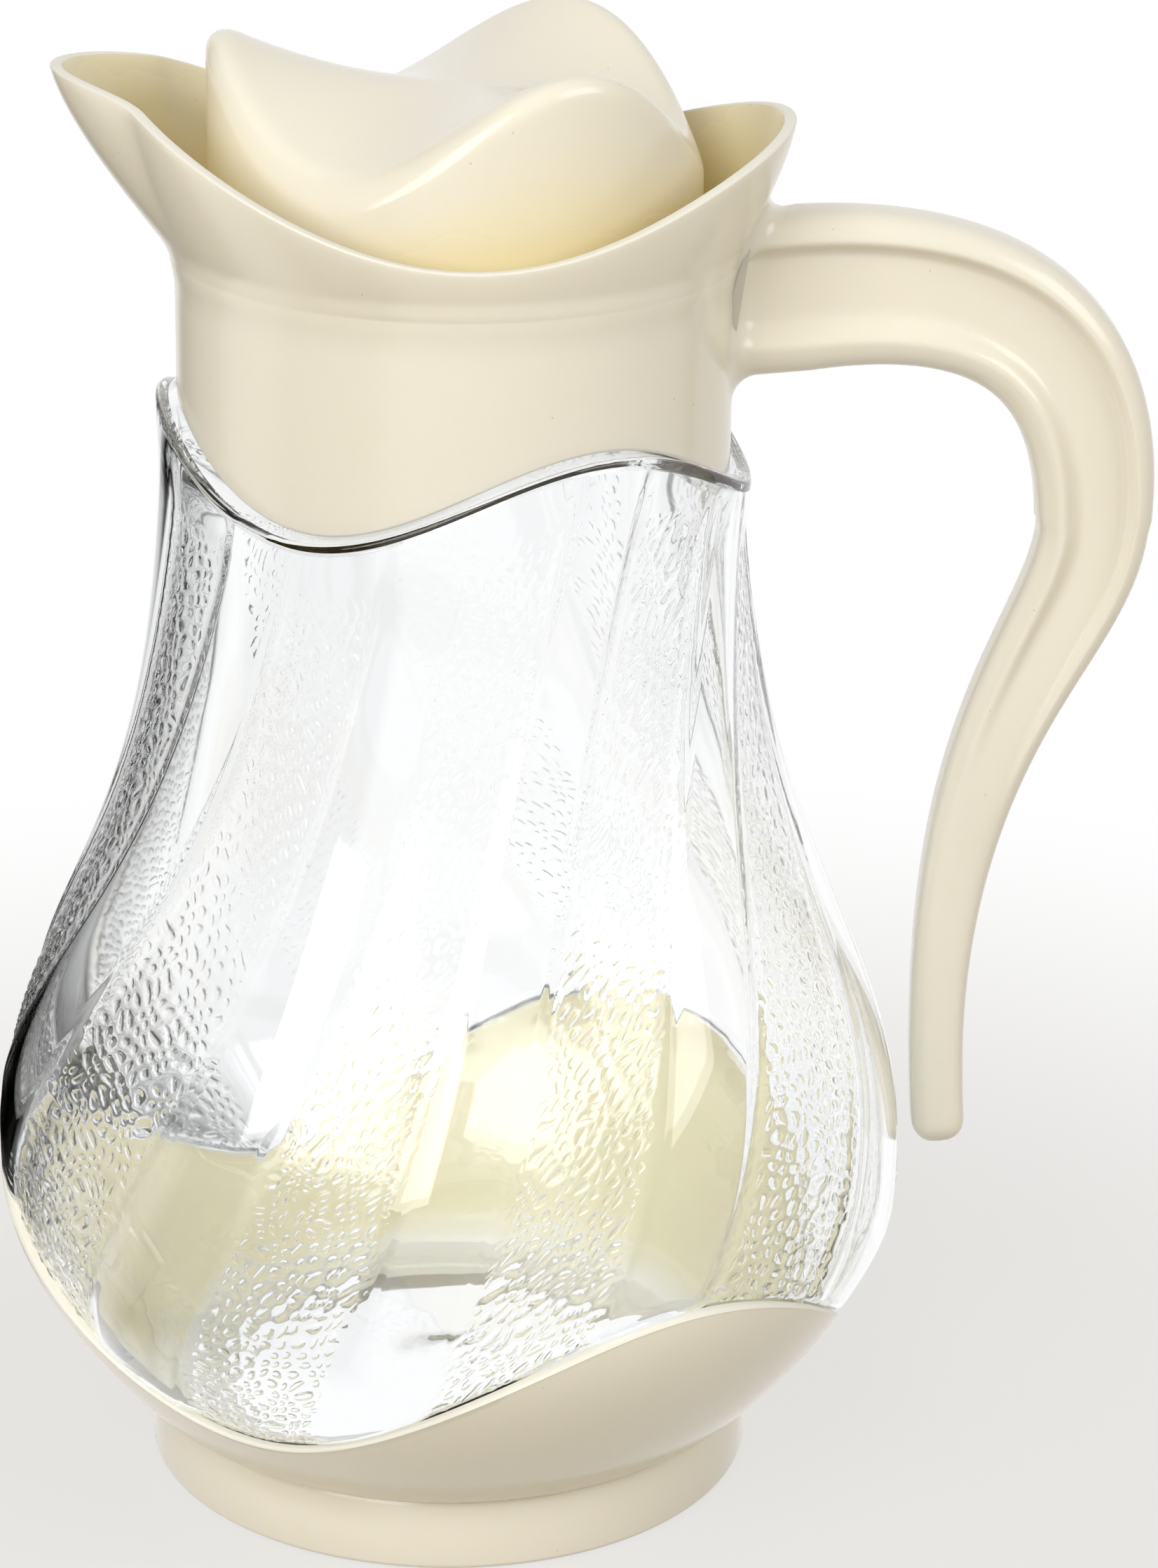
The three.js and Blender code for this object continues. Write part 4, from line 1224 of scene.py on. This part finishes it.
# %% [markdown]
# The other rings follow the middle line, and the last few shrink to a round tip. A disc is extruded
# once for each ring, straight up for now, so that the faces between the rings are made.

# %% Extrude a disc, once for each ring
BODY_START, BODY_STEPS = 5 * MM, 110
TIP_STEPS, EXTRUDE_STEP = 9, 1 * MM

for length in np.linspace(ROOT_LENGTH + BODY_START, spine_end, BODY_STEPS):
    rings.append(handle_ring(length))
for a in np.linspace(0, math.pi / 2, TIP_STEPS)[1:-1]:
    rings.append(handle_ring(spine_end, math.cos(a), math.sin(a) * HANDLE_TIP_DEPTH / 2))

bpy.ops.object.select_all(action="DESELECT")
bpy.ops.mesh.primitive_circle_add(
    vertices=HANDLE_COLUMNS, radius=HANDLE_ROOT_DEPTH, fill_type="NGON")
handle = bpy.context.object
handle.name = handle.data.name = "cream_handle"
bpy.ops.object.mode_set(mode="EDIT")
bpy.ops.mesh.select_mode(type="FACE")
bpy.ops.mesh.select_all(action="SELECT")
for _ in rings[1:]:
    bpy.ops.mesh.extrude_region_move(TRANSFORM_OT_translate={"value": (0, 0, EXTRUDE_STEP)})
bpy.ops.mesh.select_mode(type="VERT")
bpy.ops.object.mode_set(mode="OBJECT")
print("handle rings:", len(rings), "points:", len(handle.data.vertices))

# %% [markdown]
# Each point of the straight tube knows its column from its angle and its ring from its height, and
# moves to the place that these two give it on the handle.

# %% Lay the handle's rings in place
tube_x, tube_y, tube_z = read_points(handle)
tube_turn = np.arctan2(tube_y, tube_x) / (2 * math.pi)
column = np.round(tube_turn * HANDLE_COLUMNS).astype(int) % HANDLE_COLUMNS
ring = np.round(tube_z / EXTRUDE_STEP).astype(int)
handle_points = np.array(rings)[ring, column] + (AXIS_X, 0, 0)
write_points(handle, handle_points)
close_skin()
finish_piece(handle, "jug", "spout_collar", cream_collar, crisp=60)
print("handle reaches x =", round(handle_points[:, 0].max() / MM, 2))

# %% [markdown]
# The lid
#
# The lid is a loose hollow plug. A small flange rests on the collar's shelf, and the top rolls over
# a soft edge into a surface with three crests and three dips. It could be sculpted from a disc, but
# the plug below is round, so the whole lid is spun like the cup and only its top is bent afterwards.

# %% Draw and spin the lid
LID_RADIUS, LID_WALL, LID_ROUND = 41 * MM, 2.2 * MM, 5 * MM
LID_TOP = CREASE_HEIGHT + 28.7 * MM
FLANGE_RADIUS, FLANGE_WALL = 43 * MM, 2 * MM
CORNER = 0.5 * MM
TOP_RINGS, WALL_RINGS, EDGE_RINGS, INNER_EDGE_RINGS = 14, 12, 12, 8

lid_seat = CREASE_HEIGHT + FIT_GAP
flange_top = lid_seat + FLANGE_WALL
lid_bore, lid_flat = LID_RADIUS - LID_WALL, LID_RADIUS - LID_ROUND
edge_low, plug_low = LID_TOP - LID_ROUND, lid_low.z
top_radii = np.linspace(0, lid_flat, TOP_RINGS)[:-1]
wall_heights = np.linspace(edge_low, flange_top + CORNER, WALL_RINGS)
lid_section = (
    [(r, LID_TOP) for r in top_radii]
    + arc(lid_flat, edge_low, LID_ROUND, 90, 0, EDGE_RINGS)
    + [(LID_RADIUS, z) for z in wall_heights[1:]]
    + [(LID_RADIUS + CORNER, flange_top), (FLANGE_RADIUS - CORNER, flange_top)]
    + [(FLANGE_RADIUS, flange_top - CORNER), (FLANGE_RADIUS, lid_seat), (LID_RADIUS, lid_seat)]
    + [(LID_RADIUS, plug_low + CORNER), (LID_RADIUS - CORNER, plug_low)]
    + [(lid_bore + CORNER, plug_low), (lid_bore, plug_low + CORNER)]
    + [(lid_bore, z) for z in wall_heights[:0:-1]]
    + arc(lid_flat, edge_low, LID_ROUND - LID_WALL, 0, 90, INNER_EDGE_RINGS)
    + [(r, LID_TOP - LID_WALL) for r in top_radii[::-1]]
)
lid = spin_section("cream_lid", lid_section)

# %% [markdown]
# The wave grows with the square of the radius, so the middle of the top stays level and smooth. The
# wall below the edge is marked for a painted warm glow, stronger the lower it lies, and the hidden
# plug only faintly; the glow stands in for light passing between the lid and the funnel.

# %% Bend the lid's top
LID_WAVE = 9.8 * MM
LID_PAINTED_GLOW, PLUG_PAINTED_GLOW, GLOW_LOW, GLOW_HIGH = 0.45, 0.12, 0.1, 0.95

turn, radius, height = read_round(lid)
lift = np.clip((height - flange_top) / (edge_low - flange_top), 0, 1)
bend = wave(turn, 0, LID_WAVE) * (np.minimum(radius, LID_RADIUS) / LID_RADIUS) ** 2
write_round(lid, turn, radius, height + lift * bend)
# Painted warm glow on the lid's wall, which stands in for the light inside the funnel.
wall_painted_glow = np.where(height > flange_top - CORNER, LID_PAINTED_GLOW, PLUG_PAINTED_GLOW)
glow = wall_painted_glow * (1 - smooth(lift, GLOW_LOW, GLOW_HIGH))
mark_points(lid, "depth", np.where(radius > lid_flat, glow, 0.0))
finish_piece(lid, "lid", "lid", cream_lid)
print("lid top", round((height + lift * bend).max() / MM, 1), "mm")
